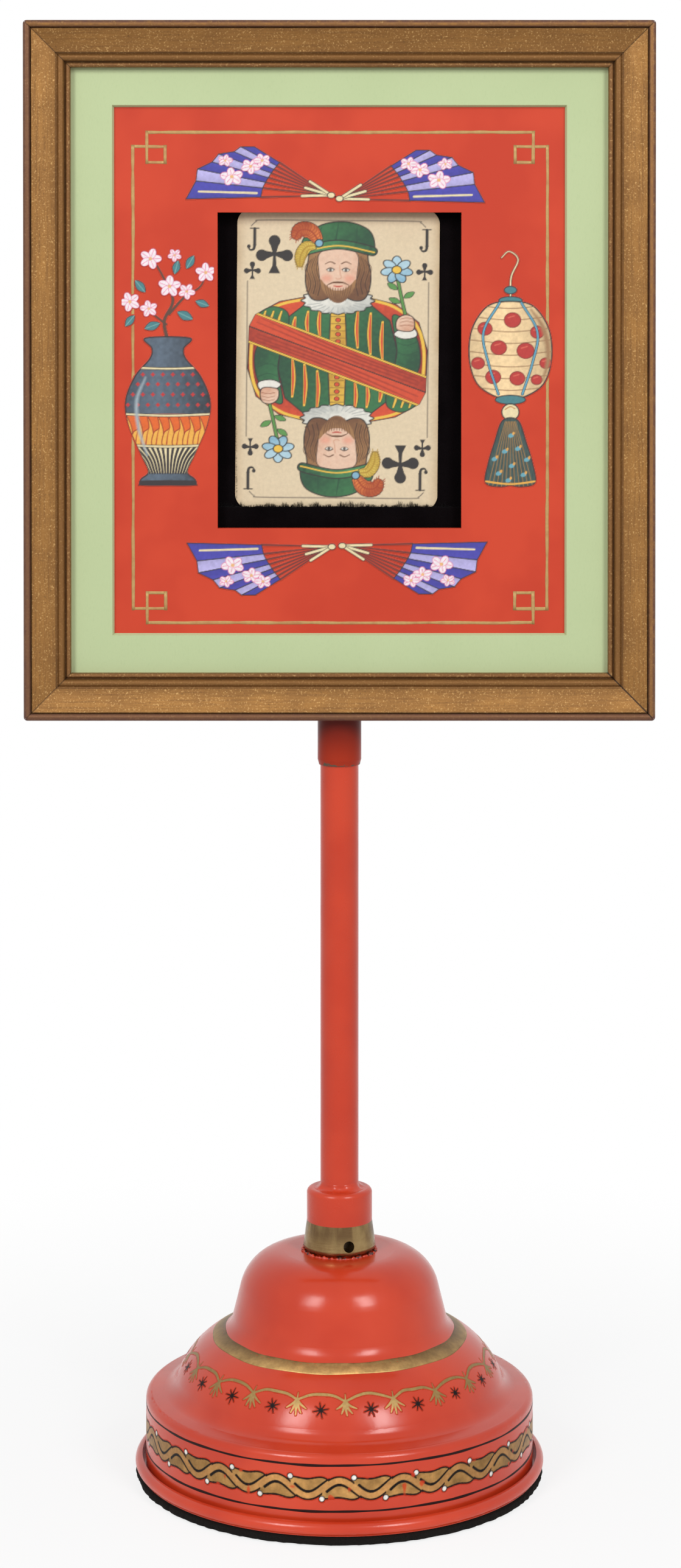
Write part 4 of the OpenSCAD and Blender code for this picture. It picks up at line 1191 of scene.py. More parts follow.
def vase(coat):
    """A stoneware vase with a striped foot and a flame band, holding a branch in blossom."""
    twigs = ((1.1, [(0, 42), (-1, 48), (1.5, 54), (-1.5, 61), (-5, 67)]),
             (0.8, [(0.4, 50), (5, 55), (9.5, 58), (11.5, 63)]), (0.7, [(-0.5, 47), (-6, 51), (-11, 53)]))
    for width, twig in twigs:
        stroke(coat, twig, width, BARK, (1.0, 0.4))
    for x, z, lean, size in ((-4.5, 46.5, 200, 4.6), (5, 49.5, -25, 4.8), (-8, 58, 130, 4.4),
                             (6.5, 65, 60, 4.2), (-11, 48, 230, 4.0), (10, 53, -20, 4.0),
                             (2.5, 63.5, 75, 4.0)):
        way = aim(lean) * size
        root = np.array([x, z]) - way / 2
        leaf(coat, root, way, 0.28, TEAL, INK)
        stroke(coat, [root, root + way], 0.2, LEAF_VEIN)
    for x, z, size, turn in ((-5, 66, 3.0, 0), (11, 62, 2.8, 20), (-11, 53.5, 2.8, 40), (0.5, 58, 3.1, 15),
                             (5.5, 56.5, 2.3, 60), (-5.5, 51.5, 2.4, 30), (2, 67, 1.9, 50)):
        blossom(coat, np.array([x, z]), size, turn, 0.9)
    body = both([(0, 0.3), (7.4, 0.4), (7.8, 2.0), (5.6, 4.2), (7.6, 9.0), (11.4, 18), (12.2, 25), (9.4, 32),
                 (5.2, 37), (4.6, 40), (6.4, 43)])
    shade = shaded(SLATE, lambda u, v: 1.5 - 0.09 * np.abs(u + 3) + 0.5 * mottle(u, v, 0.9, 51))
    fill(coat, body, shade, edge=INK, edge_w=0.4)
    stencil(coat, body)
    fill(coat, [(-9, 3.8), (9, 3.8), (13, 12), (-13, 12)], CREAM, bent=False)
    for k in range(-7, 8):
        stroke(coat, [(0.75 * k, 3.8), (1.05 * k, 8), (1.7 * k, 12.2)], 0.75, INK, (0.8, 1.0))
    fill(coat, [(-14, 12), (14, 12), (14, 21), (-14, 21)], FLAME, bent=False)
    for k in range(-4, 5):
        x = 3.0 * k
        tongue = [(x - 1.6, 12), (x - 1.1, 15.5), (x + 0.5, 17), (x + 0.1, 20.3), (x + 1.6, 16.6),
                  (x + 1.5, 12)]
        fill(coat, tongue, FLAME_PALE, edge=FLAME_EDGE, edge_w=0.3)
        stroke(coat, [(x - 0.4, 12.2), (x, 15), (x + 0.6, 17)], 0.4, FLAME_DEEP, (1.0, 0.3))
    for z in (12.0, 21.0, 34.6):
        layered(coat, [(-14, z), (0, z - 0.5), (14, z)], ((0.9, INK), (0.5, CREAM)))
    for row, z in enumerate((23.6, 26.6, 29.6, 32.4)):
        for k in range(-5, 6):
            x = 2.9 * (k + 0.5 * (row % 2))
            for radii in ((0.62, 0.3), (0.3, 0.62)):
                disc(coat, (x, z), radii, STAR_RED)
    stroke(coat, [(-6, 9), (-8.5, 17), (-9, 25), (-6.5, 31.5)], 1.3, GLAZE_LIT, (0.2, 0.2), 0.5, 0.9)
    del coat["stencil"]
    fill(coat, both([(0, 0.2), (8.6, 0.2), (8.2, 1.6), (0, 1.8)]), INK, bent=False)


def lantern(coat):
    """A round paper lantern with red dots, hung from a hook, with a dark patterned tassel."""
    hook = [(0, 55), (0.2, 61), (2.2, 66), (-0.4, 68.4), (-2.6, 66.6)]
    layered(coat, hook, ((0.8, INK), (0.42, CREAM)), (1.0, 0.6))
    for z, half in ((54.2, 3.4), (57.2, 1.8)):
        disc(coat, (0, z), (half, 1.1), TEAL, edge=INK, edge_w=0.3)
    body = both([(0, 26), (4.2, 26.3), (9.6, 30), (11.9, 37), (11.4, 45), (8.2, 51), (4, 53.6)])
    glow = shaded(LANTERN_PAPER, lambda u, v: 1.12 - 0.035 * np.abs(u + 2) + 0.2 * mottle(u, v, 0.8, 61))
    fill(coat, body, glow, edge=INK, edge_w=0.4)
    stencil(coat, body)
    for z in np.arange(28.5, 53, 3.4):
        stroke(coat, [(-12, z + 0.7), (0, z - 0.4), (12, z + 0.7)], 0.26, HOOP)
    for x, z, size in ((-7.4, 46, 2.1), (0.6, 48.5, 2.4), (7.8, 45, 2.0), (-3.4, 40.5, 2.3), (4.4, 39.6, 2.5),
                       (-9.4, 36, 1.9), (10.2, 36, 1.7), (-5, 32, 2.2), (2, 31.6, 2.2), (7.6, 31.2, 1.6)):
        disc(coat, (x, z), (size, size * 0.9), DOT_RED, edge=DOT_EDGE, edge_w=0.25)
        stroke(coat, [(x - size * 0.5, z + size * 0.3), (x + size * 0.2, z + size * 0.5)], 0.35, DOT_LIT)
    stroke(coat, [(9.5, 31), (11, 38), (9.6, 46), (6, 51.5)], 1.6, PAPER_SHADE, (0.3, 0.3), 0.6, 0.9)
    del coat["stencil"]
    for x in (-5.8, 5.8):
        cord = [(x * 0.55, 53.5), (x * 1.35, 45), (x * 1.1, 36), (x * 0.6, 27)]
        layered(coat, cord, ((0.85, INK), (0.5, CORD_BLUE)))
    disc(coat, (0, 25.4), (4.4, 1.3), TEAL, edge=INK, edge_w=0.3)
    disc(coat, (0, 21.8), (2.5, 2.4), CREAM, edge=INK, edge_w=0.35)
    stroke(coat, [(-1.5, 22.6), (0, 23.4), (1.3, 22.8)], 0.3, KNOT)
    tassel = both([(0, 0.6), (3.4, 0.2), (7.2, 1.4), (6.4, 7), (4.6, 13), (2.2, 19.4)])
    dark = shaded(TASSEL, lambda u, v: 0.8 + 0.8 * mottle(u * 3, v * 0.5, 0.9, 62))
    fill(coat, tassel, dark, edge=INK, edge_w=0.35)
    stencil(coat, tassel)
    for k in range(-5, 6):
        stroke(coat, [(0.3 * k, 19), (0.75 * k, 11), (1.3 * k, 0)], 0.22, THREAD)
    for x, z in ((-3.4, 4), (0.4, 6.2), (3.8, 3.6), (-1.6, 10.4), (2.2, 11.2), (-4.6, 8.2), (0.2, 15),
                 (4.8, 8), (-0.6, 2)):
        disc(coat, (x, z), (0.85, 0.6), SPOT_BLUE, 20)
        disc(coat, (x + 0.7, z + 0.6), (0.5, 0.35), SPOT_GOLD, 70)
    stroke(coat, [(-8, 1.8), (0, 0.9), (8, 1.8)], 0.5, FLAME_PALE)
    del coat["stencil"]


picture("vase_scrap", (-13.4, 13.4), (-0.4, 70.0), vase, lambda u, v: (u - 49.8, v + frame_z - 33.6))
picture("lantern_scrap", (-13.0, 13.0), (-0.4, 69.6), lantern, lambda u, v: (u + 49.6, v + frame_z - 33.9))


# Spacer behind the panel
# A frame of black-papered strawboard, glued to the back of the panel, that gives the card its shallow recess.
spacer_finish = grained("black paper", (0.006, 0.006, 0.006, 1), (0.022, 0.02, 0.02, 1), 0.6, 5.0, depth=0.05,
                        Roughness=0.9, Specular_IOR_Level=0.15)
dress(spacer_finish, "window_spacer")


# Velvet ground and fold
# Black cotton velvet stretched over a board, with a second strip folded along the bottom of the window to
# make a pocket. The card stands in the pocket, and the pile at its lip laps over the bottom of the card.
PILE = 0.16
PILE_FACE = 0.04
VELVET_T = 0.5
CORE_FACE = 0.72
CORE_EDGE = 0.3
VELVET_COLUMNS = 150
VELVET_ROWS = 168
CARD_LEAN = math.radians(0.5)
NAP_DARK = (0.0015, 0.001, 0.0012, 1)
NAP_LIT = (0.011, 0.008, 0.009, 1)
LINT = (0.08, 0.06, 0.05, 1)
ground_low, ground_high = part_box("velvet_board")
card_low, card_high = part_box("playing_card")
fold_low, fold_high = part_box("velvet_fold")
velvet_y = ground_low.y / MM

velvet_finish, shader, place = finish_for("black velvet")
pile = noise(place, 0.35, 4.0, 0.7)
brushed = noise(place, 9.0, 3.0)
lint = span(noise(place, 0.8, 2.0), 0.80, 0.84, 0.0, 0.5)
nap = mixed(times(pile, brushed), NAP_DARK, NAP_LIT)
feed(shader, Base_Color=mixed(lint, nap, LINT), Roughness=1.0, Specular_IOR_Level=0.02, Sheen_Weight=0.06,
     Sheen_Roughness=0.35)
bump(shader, pile, 0.25)

x = np.linspace(ground_low.x / MM, ground_high.x / MM, VELVET_COLUMNS)
z = np.linspace(ground_low.z / MM, ground_high.z / MM, VELVET_ROWS)
u, v = np.meshgrid(x, z)
soft = 0.6 * mottle(u, v, 1.3, 71) + 0.4 * mottle(u, v, 14.0, 72)
grid = np.stack([u, velvet_y + PILE_FACE + PILE * soft, v], -1)
ground = film("velvet_ground", grid, np.broadcast_to([0, VELVET_T, 0], grid.shape))
fit(ground, velvet_finish, "frame")


def slab(name, low, high, edge):
    """A board with softened edges: rectangles, inset by edge at both faces, joined from back to front."""
    inset = np.array([edge, 0, 0, edge])
    depth = np.array([high[1], high[1] - edge, low[1] + edge, low[1]])
    x = np.stack([low[0] + inset, high[0] - inset, high[0] - inset, low[0] + inset], 1)
    z = np.stack([low[2] + inset, low[2] + inset, high[2] - inset, high[2] - inset], 1)
    points = np.stack([x, np.broadcast_to(depth[:, None], x.shape), z], -1).reshape(-1, 3)
    faces = grid_faces(4, 4, True) + [[3, 2, 1, 0], [12, 13, 14, 15]]
    return mesh_object(name, points, faces, False)


BOARD_DARK = (0.10, 0.052, 0.024, 1)
BOARD_LIGHT = (0.25, 0.14, 0.066, 1)
BOARD_STAIN = (0.075, 0.04, 0.02, 1)
board_finish, shader, place = finish_for("brown hardboard")
fibre = noise(stretched(place, 0.3, 1.0, 1.0), 0.8, 6.0, 0.7)
stain = noise(place, 28.0, 5.0)
colour = mixed(fibre, BOARD_DARK, BOARD_LIGHT)
colour = mixed(span(stain, 0.45, 0.75, 0.0, 0.45), colour, BOARD_STAIN)
feed(shader, Base_Color=colour, Roughness=span(stain, 0.3, 0.7, 0.55, 0.75))
bump(shader, fibre, 0.12)
core_low = (ground_low.x / MM, velvet_y + CORE_FACE, ground_low.z / MM)
core = slab("velvet_core", core_low, np.array(ground_high) / MM, CORE_EDGE)
fit(core, board_finish, "frame")
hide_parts("velvet_board")
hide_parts("velvet_board")

FOLD_STATIONS = 220
FOLD_IN = 0.02
SHELF_GAP = 0.06
POCKET_GAP = 0.07
lip = fold_high.z / MM
shelf = card_low.z / MM - SHELF_GAP
pocket = card_low.y / MM - POCKET_GAP
front = fold_low.y / MM
bottom = fold_low.z / MM
profile = np.array([(velvet_y - FOLD_IN, bottom), (velvet_y - FOLD_IN, shelf), (pocket, shelf),
                    (pocket, lip - 0.45), (pocket - 0.1, lip - 0.12), (pocket - 0.3, lip),
                    (front + 0.32, lip - 0.05), (front + 0.1, lip - 0.35), (front, lip - 1.1),
                    (front + 0.12, lip - 3.5), (front + 0.04, bottom + 1.5), (front + 0.3, bottom)])
x = np.linspace(fold_low.x / MM, fold_high.x / MM, FOLD_STATIONS)
top = np.isin(np.arange(len(profile)), range(3, 9))[None, :]
outer = np.isin(np.arange(len(profile)), range(6, 12))[None, :]
ragged = (mottle(x, 0 * x, 0.9, 73) - 0.9)[:, None] * 0.35 * top
slack = mottle(x, 0 * x, 6.0, 74)[:, None] * 0.22 * outer
points = np.stack(np.broadcast_arrays(x[:, None], profile[None, :, 0] + slack, profile[None, :, 1] + ragged),
                  -1)
faces = grid_faces(FOLD_STATIONS, len(profile), True)
last = (FOLD_STATIONS - 1) * len(profile)
faces += [list(range(len(profile)))[::-1], list(range(last, last + len(profile)))]
fold = mesh_object("velvet_pocket", points.reshape(-1, 3), faces)


def fibres(name, root, tip, width, lean):
    """Tapered three-sided hairs: each runs from its root to its tip, bowed by lean, and ends in a point."""
    count = len(root)
    share = np.array([0.0, 0.4, 0.75])
    ring = np.array([(1, 0), (-0.5, 0.87), (-0.5, -0.87)]) * width / 2
    bow = lean[:, None] * (share * (1 - share))[None, :, None]
    spine = root[:, None] + (tip - root)[:, None] * share[None, :, None] + bow
    section = np.pad(ring, ((0, 0), (0, 1)))[None, None] * (1 - 0.6 * share)[None, :, None, None]
    body = (spine[:, :, None] + section).reshape(count, 9, 3)
    points = np.concatenate([body, tip[:, None]], 1).reshape(-1, 3)
    k = np.arange(3)
    n = (k + 1) % 3
    sides = [np.stack([s + k, s + n, s + 3 + n, s + 3 + k], 1) for s in (0, 3)]
    ends = np.concatenate([np.stack([6 + k, 6 + n, np.full(3, 9)], 1), [[2, 1, 0]]])
    start = 10 * np.arange(count)[:, None, None]
    quads, tips = (np.concatenate(sides) + start).reshape(-1, 4), (ends + start).reshape(-1, 3)
    return mesh_object(name, points, quads.tolist() + tips.tolist())


FRINGE = 1100
EDGE_HAIRS = 240
EDGE_UP = 26.0
EDGE_LAP = 0.4
HAIR_W = 0.11
hand = np.random.default_rng(75)
x = np.sort(hand.uniform(fold_low.x / MM + 0.5, fold_high.x / MM - 0.5, FRINGE))
tall = 0.35 + 2.1 * mottle(x, 0 * x, 1.6, 76) ** 1.5 * hand.uniform(0.35, 1.0, FRINGE)
root = np.stack([x, hand.uniform(front + 0.4, pocket - 0.12, FRINGE), np.full(FRINGE, lip - 0.55)], 1)
tip = root + np.stack([hand.normal(0, 0.3, FRINGE), hand.normal(-0.1, 0.1, FRINGE), 0.4 + tall], 1)
tip[:, 1] = np.minimum(tip[:, 1], pocket - 0.05)
z = hand.uniform(lip, lip + EDGE_UP, EDGE_HAIRS)
edge_x = (card_low.x + EDGE_LAP * MM) / MM + (z - lip) * CARD_LEAN
edge_root = np.stack([edge_x - 0.5, np.full(EDGE_HAIRS, velvet_y - FOLD_IN), z], 1)
short = hand.uniform(0.3, 1.0, EDGE_HAIRS) * (1.2 - (z - lip) / EDGE_UP)
forward = np.full(EDGE_HAIRS, card_low.y / MM - 0.12 - velvet_y)
edge_tip = edge_root + np.stack([0.3 + 0.6 * short, forward, 0.4 * short], 1)
root, tip = np.concatenate([root, edge_root]), np.concatenate([tip, edge_tip])
bow = np.stack([hand.normal(0, 0.3, len(root)), -0.5 * (np.arange(len(root)) >= FRINGE), np.zeros(len(root))],
               1)
fringe = fibres("velvet_fringe", root, tip, HAIR_W, bow)
for piece in (fold, fringe):
    fit(piece, velvet_finish, "frame")
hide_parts("velvet_fold")


# Playing card
# An old court card, printed in flat colours on rag board with rounded corners, browned along its edges.
# The picture is double-ended: the lower half is the upper one turned half round, and a sash hides the join.
CARD_W = 59.0
CARD_H = 88.0
CARD_CORNER = 4.6
CARD_COLUMNS = 256
CARD_ROWS = 378
SASH_SLOPE = -0.365
SIDE_X = 26.4
TOP_Z = 40.4
LINE_INK = (0.16, 0.13, 0.10)
CARD_INK = (0.020, 0.016, 0.015)
RAG = (0.715, 0.585, 0.395)
RAG_BROWN = (0.47, 0.34, 0.19)
SKIN = (0.76, 0.52, 0.38)
SKIN_SHADE = (0.60, 0.31, 0.20)
HAIR = (0.14, 0.06, 0.028)
HAIR_LIT = (0.33, 0.17, 0.07)
CLOTH_GREEN = (0.035, 0.15, 0.055)
CLOTH_GREEN_DARK = (0.014, 0.06, 0.028)
CLOTH_RED = (0.62, 0.075, 0.03)
CLOTH_RED_DARK = (0.24, 0.024, 0.016)
BRAID = (0.80, 0.50, 0.07)
LINEN = (0.76, 0.74, 0.66)
LINEN_SHADE = (0.42, 0.43, 0.40)
FLOWER = (0.22, 0.42, 0.55)
FLOWER_PALE = (0.42, 0.60, 0.68)
STALK_GREEN = (0.10, 0.26, 0.06)
STALK_LEAF = (0.10, 0.27, 0.07)
BRAID_SHADE = (0.45, 0.22, 0.03)
FINGER_LINE = (0.34, 0.14, 0.08)
HAIR_DARK = (0.05, 0.022, 0.012)
CHEEK = (0.74, 0.36, 0.25)
EYE_EDGE = (0.16, 0.07, 0.04)
PUPIL = (0.10, 0.09, 0.08)
LIPS = (0.50, 0.10, 0.07)
BRIM_LIT = (0.06, 0.22, 0.085)
PLUME_GOLD = (0.80, 0.62, 0.12)
PLUME_GOLD_DARK = (0.42, 0.25, 0.03)
PLUME_RED = (0.72, 0.21, 0.05)
PLUME_RED_DARK = (0.34, 0.05, 0.015)
CLOAK = [(-22, 9.9), (-20.5, 13.5), (-14.5, 17.6), (-6, 19.5), (6, 19.5), (14.5, 17), (20.2, 11.5), (22.4, 3),
         (22, -10), (0, 0)]
GREENS = CLOTH_GREEN, CLOTH_GREEN_DARK
REDS = CLOTH_RED, CLOTH_RED_DARK
BODY_WIDE, BODY_TALL = 1.17, 0.95
HEAD_WIDE, HEAD_TALL = 1.22, 1.16
CHIN, CHIN_ON_CARD = 19.0, 16.4


def card_sheet():
    """Right and up coordinates of the card on a grid whose columns follow the rounded corners."""
    across = np.linspace(-CARD_W / 2, CARD_W / 2, CARD_COLUMNS)
    past = np.clip(np.abs(across) - (CARD_W / 2 - CARD_CORNER), 0, CARD_CORNER)
    half = CARD_H / 2 - CARD_CORNER + np.sqrt(CARD_CORNER ** 2 - past ** 2)
    return np.broadcast_to(across, (CARD_ROWS, CARD_COLUMNS)), np.linspace(-1, 1, CARD_ROWS)[:, None] * half


def club(coat, middle, size):
    """Three round leaves on short necks, over a flared stalk."""
    x, z = middle
    for dx, dz in ((0, 0.33), (-0.325, -0.04), (0.325, -0.04)):
        disc(coat, (x + dx * size, z + dz * size), 0.15 * size, CARD_INK)
        stroke(coat, [(x, z), (x + dx * size, z + dz * size)], 0.22 * size, CARD_INK, (0.35, 1.25))
    stalk = [(-0.15, -0.5), (-0.05, -0.3), (-0.035, 0), (0.035, 0), (0.05, -0.3), (0.15, -0.5)]
    fill(coat, [(x + a * size, z + b * size) for a, b in stalk], CARD_INK, bent=False)


def index_letter(coat, middle, tall):
    """A plain slab-serif J: a serif, a straight stem and a hook that ends in a ball."""
    x, z = middle
    stem = [(x + 0.09 * tall, z + 0.45 * tall), (x + 0.09 * tall, z - 0.25 * tall)]
    stroke(coat, stem, 0.135 * tall, CARD_INK, bent=False)
    stroke(coat, [(x - 0.1 * tall, z + 0.475 * tall), (x + 0.27 * tall, z + 0.475 * tall)], 0.05 * tall,
           CARD_INK)
    hook = [(x + 0.09 * tall, z - 0.24 * tall), (x + 0.05 * tall, z - 0.42 * tall),
            (x - 0.09 * tall, z - 0.465 * tall), (x - 0.19 * tall, z - 0.36 * tall)]
    stroke(coat, hook, 0.1 * tall, CARD_INK, (1.3, 0.6))
    disc(coat, (x - 0.16 * tall, z - 0.31 * tall), 0.08 * tall, CARD_INK)


def toned(lit, dark, at, way, reach):
    """A colour that darkens from a point along a direction, with the mottle of the printing stone."""
    way = np.asarray(way, float) / np.linalg.norm(way)

    def tone(u, v):
        share = np.clip(((u - at[0]) * way[0] + (v - at[1]) * way[1]) / reach, 0, 1)
        share = np.clip(share + 0.4 * (mottle(u, v, 0.7, 81) - 0.5), 0, 1)[:, None]
        return np.asarray(lit) * (1 - share) + np.asarray(dark) * share
    return tone


def plume(coat, spine, reach, lit, dark):
    """A feather: curled barbs on both sides of a spine, longest in the middle, over a soft ground."""
    line = curve(spine, 10)
    way = np.gradient(line, axis=0)
    way /= np.linalg.norm(way, axis=1, keepdims=True)
    side = np.stack([-way[:, 1], way[:, 0]], 1)
    swell = reach * np.sin(np.pi * np.linspace(0.12, 0.95, len(line))) ** 0.6
    outline = np.concatenate([line + side * swell[:, None], (line - side * swell[:, None])[::-1]])
    fill(coat, outline, toned(lit, dark, line[0], way[0], 7.0), bent=False, edge=CARD_INK, edge_w=0.2)
    for k in range(1, len(line) - 1, 2):
        for hand_side in (-1, 1):
            end = line[k] + hand_side * side[k] * swell[k] * 0.95 + way[k] * 0.9
            bow = line[k] + hand_side * side[k] * swell[k] * 0.6 + way[k] * 0.1
            stroke(coat, [line[k], bow, end], 0.3, dark, (0.5, 0.7))
    stroke(coat, line, 0.35, dark, bent=False)


def court_body(coat):
    """Cloak, doublet and sleeves, and a hand that holds a flower."""
    fill(coat, CLOAK, toned(*REDS, (4, 17), (0.6, -1), 22), bent=False, edge=CARD_INK)
    for crease in (((-17, 16), (-18.5, 13), (-18, 9)), ((17.5, 14), (20, 8), (20.6, 0)),
                   ((15.6, 16), (17.6, 12), (18.6, 6))):
        stroke(coat, crease, 0.7, CLOTH_RED_DARK, (0.3, 0.6), 0.4)
    stroke(coat, [(-21.2, 10), (-19.6, 13.4), (-14, 16.8), (-8, 18.4)], 0.8, BRAID)
    stroke(coat, [(8, 18.4), (14, 16.2), (19.4, 11), (21.5, 3), (21.2, -9)], 0.8, BRAID)
    doublet = [(-14.2, 6.4), (-13.2, 12), (-8, 17), (0, 18.4), (8, 17), (13, 12), (14.8, 3), (14, -6.3)]
    fill(coat, doublet, toned(*GREENS, (-6, 14), (1, -0.7), 22), bent=False, edge=CARD_INK)
    for x, low, high in ((-10.6, 8, 12.8), (-7.4, 7.6, 14.6), (-4.4, 6.8, 15.4), (5, 3.6, 15),
                         (8.2, 1.6, 14.2), (11.2, 0, 11.6)):
        middle = (low + high) / 2
        slash = [(x, low), (x - 0.3, middle), (x, high)]
        layered(coat, slash, ((1.5, CARD_INK), (1.1, BRAID)), (0.5, 0.5), 0.4)
        stroke(coat, [(x, low + 0.5), (x - 0.2, middle), (x, high - 0.5)], 0.6, CLOTH_RED, (0.5, 0.5), 0.4)
    fill(coat, [(-1.7, 18.4), (1.7, 18.4), (2.3, 3), (-2.1, 4)], toned(BRAID, BRAID_SHADE, (0, 18), (0.2, -1),
                                                                       18), bent=False, edge=CARD_INK)
    for z in np.arange(5.5, 17, 2.2):
        disc(coat, (0.1, z), 0.62, CLOTH_RED, edge=CARD_INK, edge_w=0.18)
        stroke(coat, [(-1.6, z + 1.1), (1.8, z + 1.1)], 0.16, CARD_INK)
    stalk = [(15.6, -7), (16.8, 4), (17, 12), (16, 18), (14.8, 25)]
    layered(coat, stalk, ((1.0, CARD_INK), (0.6, STALK_GREEN)))
    for x, z, lean in ((15.6, 17.5, 155), (16.4, 19, 35), (14.8, 21.5, 140)):
        leaf(coat, np.array([x, z]), aim(lean) * 3.2, 0.26, STALK_LEAF, CARD_INK)
    eye = np.array([14.6, 27.6])
    for lean in 90 + 51.4 * np.arange(7):
        tone = toned(FLOWER_PALE, FLOWER, (14, 28), (0.3, -1), 4)
        disc(coat, eye + aim(lean) * (2.2, 2.4), (1.85, 1.2), tone, lean, edge=CARD_INK)
    disc(coat, eye, 1.2, BRAID, edge=CARD_INK)
    sleeve = [(13.6, 13.4), (17.4, 11.4), (20.2, 5), (20.4, -2.4), (17.6, -6.4), (14, -5.4), (14.8, 3)]
    fill(coat, sleeve, toned(*GREENS, (15, 8), (1, -0.5), 8), edge=CARD_INK)
    for z in (-3.6, -0.6, 2.4, 5.4):
        stroke(coat, [(14.8, z), (17.2, z - 0.9), (20, z + 0.2)], 0.3, CLOTH_GREEN_DARK, (0.4, 1.0))
    fill(coat, [(14, 7.8), (16, 9.6), (19.2, 9.4), (19.6, 7.2), (16.4, 6.4)], LINEN, edge=CARD_INK)
    fill(coat, [(14.6, 9.6), (14.8, 12.4), (16.6, 13.8), (18.6, 13.2), (19.2, 10.8), (18.6, 9), (16.4, 8.8)],
         toned(SKIN, SKIN_SHADE, (16, 12.5), (0.6, -1), 4.5), edge=CARD_INK)
    for z in (10.4, 11.5, 12.5):
        stroke(coat, [(15.6, z), (17.2, z + 0.35), (18.8, z)], 0.2, FINGER_LINE)
    fill(coat, [(-20, 13.2), (-16.4, 16), (-12.6, 14.4), (-12.4, 9.6), (-15, 6.6), (-20, 9)],
         toned(*GREENS, (-16, 15), (0.3, -1), 9), edge=CARD_INK)
    for x in (-18, -16, -14):
        layered(coat, [(x, 14.6), (x - 0.7, 11.4), (x, 8)], ((1.1, CARD_INK), (0.75, BRAID)), (0.5, 0.5), 0.3)


